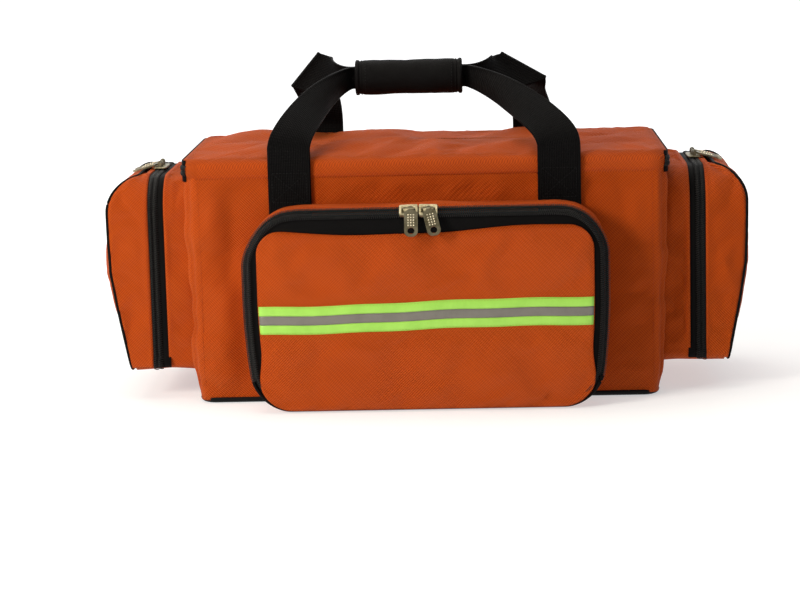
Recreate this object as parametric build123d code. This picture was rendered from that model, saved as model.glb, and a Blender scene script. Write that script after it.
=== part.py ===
"""Soft trauma bag: a padded box with a zipped lid, a zipped pocket on the front and one on each end,
and two webbing handles that meet in a padded grip.

Frame: X to the right, Y to the back, Z up, millimetres. The origin is the centre of the main
compartment's base, on the ground.
"""
from build123d import *
import os
from math import sqrt

os.makedirs("parts", exist_ok=True)

# --- Main compartment -------------------------------------------------------------------------------
body_width = 450.0  # over the two end panels
body_depth = 220.0  # over the front and back panels
body_height = 232.0  # ground to the top of the lid
cover = 1.5  # coated polyester with its backing
pad = 5.0  # closed-cell foam in its lining
base_cloth = 2.0
base_corner = 6.0
board = 3.0  # stiffener in the base
divider = 6.0
divider_height = 150.0
divider_spacing = 146.0  # between the two dividers' middles
gap = 0.5  # between pieces that move past each other
seam = 0.2  # between pieces that are sewn or tucked together

# --- Zips: a coil zip in woven tape -----------------------------------------------------------------
coil = 3.0  # side of the square that one half of the coil fills
coil_gap = 1.6  # between the two halves, for the slider's post
corner_gap = 0.6  # from the middle of the front pocket's zip to each coil, along Y and along Z
tape = 1.0  # thickness
tape_inset = 0.5  # from the face of the cloth to the face of the tape
lid_tape = 9.0  # width of the lid's half of the zip, from its coil to the underside of the cover

# --- Slider and pull --------------------------------------------------------------------------------
slider_length = 17.5
slider_lip = 0.8  # width of the flange at the tail
slider_flare = 0.7  # how much wider the nose is on each side
slider_corner = 2.0
wing = 1.3
coil_clear = 0.48  # between the wings and the coils of the zip that turns a corner
flange_clear = 0.1  # from a slider to the coils and the cloth beside it
tape_clear = 0.4  # on each side of the tape in the slider's slot
corner_exit = 3.0  # how far the front sliders' inner wing reaches on the side that leaves them
post_clear = 0.35  # on each side of the post, between the coils
post_length = 4.0
bar_radius = 0.95
bar_lift = 3.3  # from the outer wing's top to the middle of the bar
leg = 1.8
leg_width = 3.4
leg_spacing = 11.0
knuckle_radius = 2.4
knuckle_clear = 0.5
knuckle_length = 3.6
neck = 5.0  # from the bar to where the pull has its full width
pull_width = 12.4
pull_length = 28.0
pull_thickness = 1.5
pull_end_radius = 5.4
pull_hole = 3.2  # radius
pull_hole_margin = 2.3
dot_radius = 0.62
dot_height = 0.35
dot_rows = 5
dot_columns = 3
dot_pitch = 2.5
first_dot = 7.4  # from the bar to the first row

# --- Front pocket -----------------------------------------------------------------------------------
pocket_width = 336.0
pocket_drop = 44.0  # from the top of the lid down to the top of the pocket
pocket_lift = 1.0  # the pocket's lowest edge above the ground
pocket_reach = 44.0  # from the front panel to the middle of the zip
pocket_top_radius = 40.0
pocket_bottom_radius = 34.0
pocket_zip_end = 38.0  # height at which the zip ends on each side
gusset = 2.0
pocket_pad = 2.5
body_tape = 8.0
flap_tape = 10.0
lime_width = 26.0
silver_width = 8.5
strip_height = 86.0  # ground to the middle of the reflective strip
strip = 0.6
front_zip_meet = -5.0  # where the two front sliders meet
front_pull_tilt = 19.0  # degrees that a front pull lies in from the plane of its zip
front_pull_splay = 13.0  # degrees that the right front pull swings sideways

# --- End pockets ------------------------------------------------------------------------------------
end_reach = 76.0  # from the end panel to the outside of the pocket
end_foot = 58.0  # the same at the pocket's bottom
end_swell = 95.0  # height above the pocket's bottom where it reaches its full size
end_depth = 170.0
end_bottom = 27.0
end_drop = 20.0  # from the top of the lid down to the top of the pocket
end_shoulder = 32.0  # radius of the outer top edge
end_top_radius = 34.0
end_bottom_radius = 12.0
end_zip = 33.0  # from the end panel to the middle of the zip
end_zip_end = 40.0  # height at which the zip ends
end_tape = 8.0
end_panel_thickness = 3.0
end_pull_tilt = 15.0

# --- Handles ----------------------------------------------------------------------------------------
webbing_width = 40.0
webbing = 2.2
front_strap_x = 125.0
back_strap_x = 106.0
front_anchor_clear = 2.0  # between the front pocket and the stitched length above it
front_hinge_drop = 4.2  # from the top of the front panel to where the front straps leave it
back_anchor_low = 12.0
back_hinge_drop = 13.9  # from the top of the back panel to where the back straps leave it
zip_clear = 0.6  # between the back straps and the coil that they cross
strap_rise = 6.0  # height above the lid to which the straps rise straight
front_rise = 52.0
back_rise = 78.0
front_run = 34.0
back_run = 58.0
back_fold_rise = 16.0  # the back straps come down to the grip by this much
strap_steps = 8
grip_middle = -15.0  # the grip lies a little to the left
grip_rise = 64.0  # from the lid to the middle of the grip
grip_length = 102.0
grip_radius = 16.5
rim_radius = 17.6
rim_length = 3.0
folded_width = 23.0  # webbing folded in two inside the grip
folded = 4.4
core_offset = 3.6  # from the grip's middle plane to the middle of each folded webbing
wrap_split = 0.2  # half of the gap between the two halves of the wrap

# --- Derived places ---------------------------------------------------------------------------------
FAR = 1000.0
half_width = body_width / 2
half_depth = body_depth / 2
lid_under = body_height - cover  # underside of the lid's cover
lid_pad_under = lid_under - pad
front_top = lid_pad_under - gap  # top of the front panel, where the lid folds
lid_coil_low = lid_under - lid_tape
lid_zip_middle = lid_coil_low - coil_gap / 2
body_coil_high = lid_zip_middle - coil_gap / 2
floor_top = base_cloth + board
inner_x = half_width - cover - seam - pad - seam
inner_y = half_depth - cover - seam - pad - seam
coil_proud = (coil - tape) / 2 - tape_inset  # how far a flat zip's coil stands out of the cloth
flat_zip_depth = tape_inset + tape / 2  # from the face of the cloth to the middle of a flat zip
flange_reach = (corner_gap + coil) * sqrt(2) + flange_clear
slider_tail = 2 * (flange_reach + slider_lip)
slider_nose = slider_tail + 2 * slider_flare
wall_top = lid_zip_middle - slider_nose / 2 - flange_clear  # the sliders pass just above the walls
wing_clear = coil / sqrt(2) + coil_clear  # from the zip's middle to the wings
flange_slot = tape / 2 + tape_clear
post = coil_gap - 2 * post_clear
bar_height = wing_clear + wing + bar_lift
pocket_top = body_height - pocket_drop
end_top = body_height - end_drop
front_hinge = front_top - front_hinge_drop
back_hinge = wall_top - back_hinge_drop
strap_straight = body_height + strap_rise
grip_height = body_height + grip_rise


def block(x, y, z):
    """A box from three (low, high) pairs."""
    middle = [(low + high) / 2 for low, high in (x, y, z)]
    size = [high - low for low, high in (x, y, z)]
    return Pos(*middle) * Box(*size)


def rounded(width, low, high, top_radius, bottom_radius):
    """A flat outline, centred on its own first axis, with its own radii at the top and the bottom."""
    face = Pos(0, (low + high) / 2) * Rectangle(width, high - low)
    face = fillet(face.vertices().group_by(Axis.Y)[-1], top_radius)
    return fillet(face.vertices().group_by(Axis.Y)[0], bottom_radius)


def inset(face, amount):
    """The outline moved inwards, or outwards for a negative amount."""
    return offset(face, -amount) if amount else face


def band(face, near, far):
    """The strip of an outline between two insets."""
    return inset(face, near) - inset(face, far)


def along_y(face, low, high):
    """A face drawn in X and Z, made solid between two places on Y."""
    return extrude(Plane((0, high, 0), x_dir=(1, 0, 0), z_dir=(0, -1, 0)) * face, high - low)


def along_x(face, low, high):
    """A face drawn in Y and Z, made solid between two places on X."""
    return extrude(Plane((low, 0, 0), x_dir=(0, 1, 0), z_dir=(1, 0, 0)) * face, high - low)


def above(height):
    """Everything higher than a height."""
    return block((-FAR, FAR), (-FAR, FAR), (height, FAR))


def save(name, *shapes):
    """Writes one sub-part to its own file."""
    solids = []
    for shape in shapes:
        solids.extend(shape.solids())
    export_step(solids[0] if len(solids) == 1 else Compound(solids), f"parts/{name}.step")


def main_compartment():
    """The padded box under the lid: cloth outside, foam pads inside, a board and two dividers."""
    x = (-half_width, half_width)
    wall = (base_cloth, wall_top)
    pad_high = (base_cloth, wall_top - seam)
    outer_y = half_depth - cover - seam
    outer_x = half_width - cover - seam
    save("base_panel", extrude(RectangleRounded(body_width, body_depth, base_corner), base_cloth))
    save("base_board", block((-inner_x, inner_x), (-inner_y, inner_y), (base_cloth, floor_top)))
    save("front_panel", block(x, (-half_depth, cover - half_depth), (base_cloth, front_top)))
    save("back_panel", block(x, (half_depth - cover, half_depth), wall))
    front_pad_x = half_width + coil_proud - coil - seam
    tall = (base_cloth, front_top - seam)
    save("front_pad", block((-front_pad_x, front_pad_x), (-outer_y, pad - outer_y), tall))
    save("back_pad", block((-inner_x, inner_x), (outer_y - pad, outer_y), pad_high))
    for side, name in ((-1, "left"), (1, "right")):
        cloth = sorted((side * half_width, side * (half_width - cover)))
        foam = sorted((side * (inner_x + seam), side * outer_x))
        save(f"{name}_end_panel", block(cloth, (cover - half_depth, half_depth - cover), wall))
        save(f"{name}_end_pad", block(foam, (pad + seam - outer_y, outer_y), pad_high))
    walls = []
    for side in (-1, 1):
        wide = (side * divider_spacing / 2 - divider / 2, side * divider_spacing / 2 + divider / 2)
        walls.append(block(wide, (seam - inner_y, inner_y - seam), (floor_top, floor_top + divider_height)))
    save("dividers", *walls)


def zip_track(low, high, coil_low):
    """Tape and coil round both ends and the back, between two heights, with the coil at one edge."""
    box = Rectangle(body_width, body_depth)
    woven = extrude(band(box, tape_inset, tape_inset + tape), high - low)
    wound = extrude(band(box, -coil_proud, coil - coil_proud), coil)
    track = Pos(0, 0, low) * woven + Pos(0, 0, coil_low) * wound
    behind_fold = block((-FAR, FAR), (coil - coil_proud - half_depth, FAR), (-FAR, FAR))
    return track & behind_fold


def lid():
    """The padded lid, which folds at the front, and the zip that closes its other three sides."""
    cloth = extrude(RectangleRounded(body_width, body_depth, base_corner), cover)
    save("lid_cover", Pos(0, 0, lid_under) * cloth)
    side_x = half_width + coil_proud - coil - seam
    back_y = half_depth - flat_zip_depth - wing_clear - wing - gap
    save("lid_pad", block((-side_x, side_x), (seam - half_depth, back_y), (lid_pad_under, lid_under)))
    save("lid_zip_half", zip_track(lid_coil_low, lid_under, lid_coil_low))
    save("body_zip_half", zip_track(wall_top, body_coil_high, body_coil_high - coil))


def slider(corner=False):
    """A zip slider. X runs along the zip to its nose, Z points out, the coil on +Y can leave it.

    A corner slider is for a zip whose two tapes turn away from its own plane at once.
    """
    half = slider_length / 2
    outline = Polygon(
        (-half, -slider_tail / 2),
        (half, -slider_nose / 2),
        (half, slider_nose / 2),
        (-half, slider_tail / 2),
        align=None,
    )
    outline = fillet(outline.vertices(), slider_corner)
    top = Pos(0, 0, wing_clear) * extrude(outline, wing)
    rim = top.edges().group_by(Axis.Z)[-1]
    top = fillet(rim, wing / 2)
    bottom_face = outline
    if corner:
        middle = (corner_exit - flange_reach) / 2
        bottom_face = outline & Pos(0, middle) * Rectangle(FAR, corner_exit + flange_reach)
    bottom = Pos(0, 0, -wing_clear - wing) * extrude(bottom_face, wing)
    flange = outline & Pos(0, -FAR / 2 - flange_reach) * Rectangle(FAR, FAR)
    body = top + bottom + Pos(0, 0, flange_slot) * extrude(flange, wing_clear - flange_slot + wing / 2)
    if not corner:
        depth = wing_clear - flange_slot + wing / 2
        body += Pos(0, 0, -flange_slot - depth) * extrude(flange, depth)
    body += Pos(half - post_length / 2 - wing, 0, 0) * Box(post_length, post, 2 * wing_clear + wing)
    leg_low = wing_clear + wing / 2
    for end in (-1, 1):
        height = bar_height + bar_radius - leg_low
        upright = Pos(end * leg_spacing / 2, 0, leg_low + height / 2) * Box(leg, leg_width, height)
        body += fillet(upright.edges().filter_by(Axis.X).group_by(Axis.Z)[-1], bar_radius)
    return body + Pos(0, 0, bar_height) * Rot(Y=90) * Cylinder(bar_radius, leg_spacing)


def pull():
    """A pull tab with its eye on the origin, reaching along -Y, with raised dots on its +Z face."""
    end = -pull_length
    plate = Polygon(
        (-knuckle_length / 2, -bar_radius - knuckle_clear),
        (-pull_width / 2, -neck),
        (-pull_width / 2, end),
        (pull_width / 2, end),
        (pull_width / 2, -neck),
        (knuckle_length / 2, -bar_radius - knuckle_clear),
        align=None,
    )
    plate = fillet(plate.vertices().group_by(Axis.Y)[0], pull_end_radius)
    plate -= Pos(0, end + pull_hole_margin + pull_hole) * Circle(pull_hole)
    tab = Pos(0, 0, -pull_thickness / 2) * extrude(plate, pull_thickness)
    eye = Rot(Y=90) * Cylinder(knuckle_radius, knuckle_length)
    tab += eye
    tab -= Rot(Y=90) * Cylinder(bar_radius + knuckle_clear, FAR)
    for row in range(dot_rows):
        for column in range(dot_columns):
            place = ((column - (dot_columns - 1) / 2) * dot_pitch, -first_dot - row * dot_pitch)
            dot = Cone(dot_radius, dot_radius / 2, 2 * dot_height)
            tab += Pos(*place, pull_thickness / 2) * dot
    return tab


def zip_hardware(names, plane, place, nose, tilt, shift=0.0, splay=0.0, corner=False, flip=False):
    """Saves one slider and its pull on a zip whose middle line is the plane's X axis.

    The nose points along +X of the plane or, for -1, along -X.
    """
    shape = slider(corner)
    runner = plane * Pos(place, 0, 0) * (mirror(shape, about=Plane.YZ) if nose < 0 else shape)
    tab = plane * Pos(place + shift, 0, bar_height) * Rot(X=tilt) * Rot(Z=splay) * pull()
    for name, shape in zip(names, (runner, tab)):
        save(name, mirror(shape, about=Plane.YZ) if flip else shape)


def lid_sliders():
    """Two sliders on the back of the lid's zip. They stay with the wall when the lid opens."""
    middle = half_depth - flat_zip_depth
    plane = Plane((0, middle, lid_zip_middle), x_dir=(-1, 0, 0), z_dir=(0, 1, 0))
    meet = (slider_length + gap) / 2
    for side, name in ((-1, "right"), (1, "left")):
        names = (f"lid_slider_{name}", f"lid_pull_{name}")
        zip_hardware(names, plane, side * meet, -side, 0.0)


def front_pocket():
    """The pocket on the front: a gusset sewn to the front panel and a padded flap hinged at its foot."""
    outline = rounded(
        pocket_width,
        pocket_lift,
        pocket_top,
        pocket_top_radius,
        pocket_bottom_radius,
    )
    root = -half_depth - seam
    middle = -half_depth - pocket_reach
    body_coil = (middle + corner_gap, middle + corner_gap + coil)
    flap_face = middle - corner_gap - coil
    tape_end = body_coil[1] + body_tape
    upper = above(pocket_zip_end)
    lower = block((-FAR, FAR), (-FAR, FAR), (-FAR, pocket_zip_end))
    pad_back = flap_face + cover + pocket_pad
    walls = along_y(band(outline, 0, gusset), tape_end, root)
    foot = along_y(band(outline, 0, gusset), flap_face + cover + gap, tape_end) & lower
    save("pocket_gusset", walls + foot)
    woven = along_y(band(outline, 0, tape), body_coil[0], tape_end) & upper
    wound = along_y(band(outline, 0, coil), *body_coil) & upper
    save("pocket_zip_body_half", woven + wound)

    rim = inset(outline, coil + 2 * corner_gap)
    coil_band = along_y(band(rim, 0, coil), flap_face, flap_face + coil) & upper
    tape_band = along_y(band(rim, coil / 2, coil + flap_tape), flap_face, flap_face + tape) & upper
    save("pocket_zip_flap_half", coil_band + tape_band)
    centre = along_y(inset(rim, coil + flap_tape), flap_face, flap_face + cover)
    skirt = along_y(inset(outline, gap), flap_face, flap_face + cover) & lower
    save("pocket_front_panel", centre + skirt)
    soft = inset(rim, coil + flap_tape)
    save("pocket_front_pad", along_y(soft, flap_face + cover, pad_back))
    face = (flap_face - strip, flap_face)
    reach = pocket_width / 2 - coil - 2 * corner_gap - coil - flap_tape
    for part, name in ((-1, "low"), (1, "high")):
        edges = sorted((strip_height + part * silver_width / 2, strip_height + part * lime_width / 2))
        save(f"reflective_lime_{name}", block((-reach, reach), face, edges))
    silver = (strip_height - silver_width / 2, strip_height + silver_width / 2)
    save("reflective_silver", block((-reach, reach), face, silver))

    zip_height = pocket_top - coil - corner_gap
    slope = 1 / sqrt(2)
    plane = Plane((front_zip_meet, middle, zip_height), x_dir=(1, 0, 0), z_dir=(0, -slope, slope))
    meet = (slider_length + gap) / 2
    play = (leg_spacing - leg - knuckle_length) / 2 - gap
    left = ("pocket_slider_left", "pocket_pull_left")
    right = ("pocket_slider_right", "pocket_pull_right")
    zip_hardware(left, plane, -meet, 1, front_pull_tilt, shift=play, corner=True)
    zip_hardware(right, plane, meet, -1, front_pull_tilt, splay=front_pull_splay, corner=True)


def end_pocket(name, flip):
    """A pocket on one end: an inner gusset sewn to the bag and an outer shell hinged at its foot.

    It is worked out on the right and mirrored for the left.
    """
    outline = rounded(end_depth, end_bottom, end_top, end_top_radius, end_bottom_radius)
    start = half_width + seam
    outside = half_width + end_reach

    def profile(shrink):
        """The pocket's section across its depth, with its walls moved in by a distance."""
        face = Polygon(
            (half_width - FAR / 10, end_bottom),
            (half_width + end_foot, end_bottom),
            (outside, end_bottom + end_swell),
            (outside, end_top),
            (half_width - FAR / 10, end_top),
            align=None,
        )
        corner = face.vertices().sort_by(lambda point: point.X + point.Y)[-1]
        return inset(fillet(corner, end_shoulder), shrink)

    def filled(shrink):
        """The pocket's outer shape, moved in by a distance."""
        across = along_x(inset(outline, shrink), half_width, half_width + FAR / 5)
        return across & along_y(profile(shrink), -FAR / 5, FAR / 5)

    def between(low, high):
        """Everything between two distances from the end panel."""
        return block((half_width + low, half_width + high), (-FAR, FAR), (-FAR, FAR))

    def keep(part, shape):
        """Saves a piece on the pocket's own side of the bag."""
        save(f"{name}_pocket_{part}", mirror(shape, about=Plane.YZ) if flip else shape)

    full = filled(0)
    hollow = full - filled(gusset)
    upper = above(end_zip_end)
    lower = block((-FAR, FAR), (-FAR, FAR), (-FAR, end_zip_end - seam))
    inner_edge = end_zip - coil_gap / 2 - coil
    foot_end = end_foot - end_panel_thickness - gap
    inner_wall = hollow & between(seam, inner_edge - end_tape)
    foot = hollow & between(inner_edge - end_tape, foot_end) & lower
    keep("gusset", inner_wall + foot)

    def track(coil_low, tape_low, tape_high):
        """Half of the zip: a coil and its tape, round the sides and the top."""
        wound = along_x(band(outline, -coil_proud, coil - coil_proud), coil_low, coil_low + coil)
        woven = along_x(band(outline, tape_inset, tape_inset + tape), tape_low, tape_high)
        return (wound + woven) & upper

    first = half_width + inner_edge
    second = half_width + end_zip + coil_gap / 2
    shell_start = end_zip + slider_nose / 2 + flange_clear
    keep("zip_body_half", track(first, first - end_tape, first + coil))
    keep("zip_flap_half", track(second, second, half_width + shell_start))
    panel = full - Pos(-end_panel_thickness, 0, 0) * full
    keep("outer_panel", panel & between(0, FAR / 10) & above(end_bottom + gusset + gap))
    keep("outer_gusset", (hollow - panel) & between(shell_start, FAR / 10) & upper)

    top = end_top - flat_zip_depth
    plane = Plane((half_width + end_zip, 0, top), x_dir=(0, 1, 0), z_dir=(0, 0, 1))
    meet = (slider_length + gap) / 2
    for side, label in ((-1, "front"), (1, "back")):
        names = (f"{name}_pocket_slider_{label}", f"{name}_pocket_pull_{label}")
        zip_hardware(names, plane, side * meet, -side, end_pull_tilt, flip=flip)


def strap_section(point, heading, across, width, thickness):
    """A strap's cross-section at a point of its path. Its width lies as near to `across` as it can."""
    heading = heading.normalized()
    across = (across - heading * across.dot(heading)).normalized()
    return Plane(point, x_dir=across, z_dir=heading) * Rectangle(width, thickness)


def handle(strap_x, face, low, rise, run, fold_rise, core):
    """One webbing handle: up from the panel on one side, through the grip, down on the other side.

    Each strap rises straight and then follows a cubic curve of four control points to the grip. It
    turns from flat to upright on the way, and its last section faces the grip squarely.
    """
    straps = []
    ends = []
    for side in (-1, 1):
        end_x = grip_middle + side * (grip_length / 2 + rim_length + 1)
        ends.append(end_x)
        points = [
            Vector(side * strap_x, face, strap_straight),
            Vector(side * strap_x, face, strap_straight + rise),
            Vector(end_x + side * run, core, grip_height + fold_rise),
            Vector(end_x, core, grip_height),
        ]
        foot = Vector(side * strap_x, face, low)
        flat = Vector(1, 0, 0)
        upright = Vector(0, 0, side)
        sections = [strap_section(foot, Vector(0, 0, 1), flat, webbing_width, webbing)]
        for step in range(strap_steps + 1):
            t = step / strap_steps
            s = 1 - t
            weights = (s**3, 3 * s * s * t, 3 * s * t * t, t**3)
            slopes = (-s * s, s * s - 2 * s * t, 2 * s * t - t * t, t * t)
            place = sum((point * weight for point, weight in zip(points, weights)), Vector())
            heading = sum((point * weight for point, weight in zip(points, slopes)), Vector())
            if step == strap_steps:
                heading = Vector(-side, 0, 0)
            ease = t * t * (3 - 2 * t)
            width = webbing_width + (folded_width - webbing_width) * ease
            thickness = webbing + (folded - webbing) * ease
            across = flat * (1 - ease) + upright * ease
            sections.append(strap_section(place, heading, across, width, thickness))
        straps.append(loft(sections, ruled=True))
    tall = (grip_height - folded_width / 2, grip_height + folded_width / 2)
    middle = block(ends, (core - folded / 2, core + folded / 2), tall)
    return straps[0] + middle + straps[1]


def handles():
    """Two handles, the straps sewn to the panels below them, and the padded wrap that joins them."""
    front_y = -half_depth - seam - webbing / 2
    back_y = half_depth + coil_proud + zip_clear + webbing / 2
    front = handle(front_strap_x, front_y, front_hinge + seam, front_rise, front_run, 0.0, -core_offset)
    save("front_handle", front)
    back = handle(back_strap_x, back_y, back_hinge + seam, back_rise, back_run, back_fold_rise, core_offset)
    save("back_handle", back)
    for name, strap_x, sign, low, high in (
        ("front", front_strap_x, -1, pocket_top + front_anchor_clear, front_hinge - seam),
        ("back", back_strap_x, 1, back_anchor_low, back_hinge - seam),
    ):
        near = sign * (half_depth + seam)
        deep = sorted((near, near + sign * webbing))
        straps = []
        for side in (-1, 1):
            wide = (side * strap_x - webbing_width / 2, side * strap_x + webbing_width / 2)
            straps.append(block(wide, deep, (low, high)))
        save(f"{name}_strap_anchors", *straps)
    roll = Rot(Y=90) * Cylinder(grip_radius, grip_length)
    for end in (-1, 1):
        roll += Pos(end * (grip_length + rim_length) / 2, 0, 0) * Rot(Y=90) * Cylinder(rim_radius, rim_length)
    for name, sign in (("front", -1), ("back", 1)):
        side = block((-FAR, FAR), sorted((sign * wrap_split, sign * FAR)), (-FAR, FAR))
        near = sign * (core_offset - folded / 2 - seam)
        far = sign * (core_offset + folded / 2 + seam)
        slot = block((-FAR, FAR), sorted((near, far)), (-folded_width / 2 - seam, folded_width / 2 + seam))
        half = (roll & side) - slot
        save(f"grip_wrap_{name}", Pos(grip_middle, 0, grip_height) * half)


main_compartment()
lid()
lid_sliders()
front_pocket()
end_pocket("right", False)
end_pocket("left", True)
handles()
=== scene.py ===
"""Soft trauma bag: cloth skins, zips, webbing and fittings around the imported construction.

Lengths are millimetres in the bag's own frame: X to the right, Y to the back, Z up, the ground at zero.
They turn into metres when a mesh is made. Each sub-assembly is a class that holds its sizes and builds
its own pieces.
"""
import logging
from dataclasses import dataclass
from enum import Enum
from typing import Sequence

import bmesh
import bpy
import numpy as np
from mathutils import Matrix, Vector


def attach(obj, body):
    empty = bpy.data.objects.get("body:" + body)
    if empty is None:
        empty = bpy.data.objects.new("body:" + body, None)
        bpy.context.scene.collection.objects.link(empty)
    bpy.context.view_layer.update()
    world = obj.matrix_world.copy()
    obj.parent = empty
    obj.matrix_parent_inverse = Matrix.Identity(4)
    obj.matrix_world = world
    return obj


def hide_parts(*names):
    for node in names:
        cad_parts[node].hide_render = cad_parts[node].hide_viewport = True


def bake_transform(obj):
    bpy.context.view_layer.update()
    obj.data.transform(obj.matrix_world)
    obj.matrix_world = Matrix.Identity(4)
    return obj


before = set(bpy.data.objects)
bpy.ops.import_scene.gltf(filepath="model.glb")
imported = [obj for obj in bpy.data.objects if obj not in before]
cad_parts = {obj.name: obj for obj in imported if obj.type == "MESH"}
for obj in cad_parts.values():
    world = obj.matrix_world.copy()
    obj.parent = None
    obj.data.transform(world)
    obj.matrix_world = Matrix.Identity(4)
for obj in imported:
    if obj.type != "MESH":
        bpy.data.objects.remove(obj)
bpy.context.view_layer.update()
MM = 0.001
HALF_WIDTH = 225.0  # the box seen from above, and the radius of its corners
HALF_DEPTH = 110.0
CORNER = 15.0
LID_TOP = 232.0
ZIP_START = -104.0  # Y of both ends of the lid's zip
CHANNEL = 73.0  # the distance between the lining's sewn channels, and of the dividers from the middle
SETTLING_FRAMES = 22
CLOTH_SETTINGS = {
    "quality": 6, "mass": 0.25, "tension_stiffness": 20, "compression_stiffness": 20, "shear_stiffness": 8,
    "bending_stiffness": 1.0, "air_damping": 4, "use_pressure": True,
}
log = logging.getLogger("trauma_bag")


# --- Finishes ---------------------------------------------------------------------------------------


class Graph:
    """A material's node tree, with short calls for the nodes that the finishes share."""

    def __init__(self, name: str) -> None:
        """Starts a material with one principled shader.

        Args:
            name: the material's name.
        """
        self.material = bpy.data.materials.new(name)
        self.material.use_nodes = True
        self.tree = self.material.node_tree
        self.shader = self.tree.nodes["Principled BSDF"]

    def node(self, kind: str, settings: dict | None = None, **inputs: object) -> bpy.types.Node:
        """Adds a node.

        Args:
            kind: the node's type, without its ShaderNode prefix.
            settings: the node's own attributes.
            inputs: socket names, with underscores for spaces, and their values or source sockets.

        Returns:
            The node.
        """
        made = self.tree.nodes.new("ShaderNode" + kind)
        for key, value in (settings or {}).items():
            setattr(made, key, value)
        for key, value in inputs.items():
            name = int(key[1:]) if key[0] == "i" and key[1:].isdigit() else key.replace("_", " ")
            self.feed(made.inputs[name], value)
        return made

    def feed(self, socket: bpy.types.NodeSocket, value: object) -> None:
        """Links a socket to another node's output, or sets its value."""
        if isinstance(value, bpy.types.NodeSocket):
            self.tree.links.new(value, socket)
        else:
            socket.default_value = value

    def math(self, operation: str, first: object, second: object = 0.0, third: object = 0.0) -> object:
        """Adds a Math node and returns its output."""
        return self.node("Math", {"operation": operation}, i0=first, i1=second, i2=third).outputs[0]

    def mix(self, factor: object, first: Sequence[float], second: Sequence[float]) -> object:
        """Mixes two colours, each a colour or a socket, and returns the output."""
        made = self.node("Mix", {"data_type": "RGBA"})
        self.feed(made.inputs["Factor"], factor)
        for socket, value in ((made.inputs[6], first), (made.inputs[7], second)):
            self.feed(socket, value if isinstance(value, bpy.types.NodeSocket) else (*value, 1.0))
        return made.outputs[2]

    def noise(self, place: object, scale: float, detail: float = 3.0, rough: float = 0.5) -> object:
        """Adds a Noise texture and returns its factor."""
        return self.node("TexNoise", Vector=place, Scale=scale, Detail=detail, Roughness=rough).outputs["Fac"]

    def spread(self, value: object, low: float, high: float, to_low: float, to_high: float) -> object:
        """Maps a range of values to another, clamped, and returns the output."""
        made = self.node("MapRange", Value=value, From_Min=low, From_Max=high, To_Min=to_low, To_Max=to_high)
        return made.outputs[0]

    def bump(self, height: object, strength: float, distance: float, under: object = None) -> object:
        """Adds a Bump node, on top of another bump's normal if one is given."""
        made = self.node("Bump", Height=height, Strength=strength, Distance=distance)
        if under is not None:
            self.feed(made.inputs["Normal"], under)
        return made.outputs[0]

    def wave(self, value: object, turn: float) -> object:
        """The sine of a value times a factor."""
        return self.math("SINE", self.math("MULTIPLY", value, turn))

    def shade(self, **inputs: object) -> bpy.types.Material:
        """Feeds the shader's sockets, named with underscores for spaces, and returns the material."""
        for key, value in inputs.items():
            self.feed(self.shader.inputs[key.replace("_", " ")], value)
        return self.material

    def uv(self) -> tuple[object, object]:
        """The piece's own flat coordinates in millimetres, as two outputs."""
        split = self.node("SeparateXYZ", Vector=self.node("TexCoord").outputs["UV"])
        return split.outputs[0], split.outputs[1]

    def place(self) -> object:
        """The position on the bag, in metres."""
        return self.node("TexCoord").outputs["Object"]


class Weave(Enum):
    """How the threads of a cloth cross."""

    TWILL = "twill"
    PLAIN = "plain"
    RIBBED = "ribbed"


@dataclass(frozen=True)
class Cloth:
    """A woven cloth whose threads follow the piece's own flat coordinates."""

    name: str
    colour: tuple[float, float, float]
    shade: tuple[float, float, float]
    weave: Weave = Weave.TWILL
    thread: float = 1.1
    relief: float = 0.25
    rough: float = 0.55
    sheen: float = 0.05
    shine: float = 0.12
    crumple: float = 0.0
    glow: tuple[float, float, float] = (1.0, 1.0, 1.0)
    contrast: float = 0.25

    def build(self) -> bpy.types.Material:
        """Makes the material.

        Threads are sine waves over the flat coordinates: along one diagonal for a twill, the product
        of both directions for a plain weave, and cords along the length for a ribbed one.
        """
        graph = Graph(self.name)
        across, along = graph.uv()
        turn = 2 * np.pi / self.thread
        if self.weave is Weave.TWILL:
            first = graph.wave(graph.math("SUBTRACT", across, along), turn)
            second = graph.wave(graph.math("ADD", across, along), turn * 0.5)
            threads = graph.math("MULTIPLY_ADD", second, 0.35, first)
        elif self.weave is Weave.PLAIN:
            threads = graph.math("MULTIPLY", graph.wave(across, turn), graph.wave(along, turn))
        else:
            first = graph.wave(across, turn)
            tilt = graph.math("MULTIPLY_ADD", first, 0.8, graph.math("MULTIPLY", along, turn * 0.62))
            threads = graph.math("MULTIPLY_ADD", graph.math("SINE", tilt), 0.45, first)
        place = graph.place()
        cloudy = graph.noise(place, 9.0, 4.0, 0.6)
        fine = graph.noise(place, 900.0, 2.0, 0.6)
        tone = graph.math("MULTIPLY_ADD", threads, self.contrast, graph.spread(cloudy, 0.3, 0.7, 0.35, 0.75))
        tone = graph.math("MULTIPLY_ADD", fine, 0.25, graph.math("SUBTRACT", tone, 0.12))
        normal = graph.bump(threads, self.relief, self.thread * 0.2 * MM)
        if self.crumple:
            soft = graph.noise(place, 26.0, 3.0, 0.55)
            normal = graph.bump(soft, self.crumple, 6.0 * MM, normal)
        return graph.shade(
            Base_Color=graph.mix(tone, self.shade, self.colour),
            Roughness=graph.spread(cloudy, 0.3, 0.7, self.rough - 0.05, self.rough + 0.06),
            Sheen_Weight=self.sheen, Sheen_Roughness=0.4, Sheen_Tint=(*self.glow, 1.0),
            Specular_IOR_Level=self.shine, Normal=normal,
        )


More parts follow.
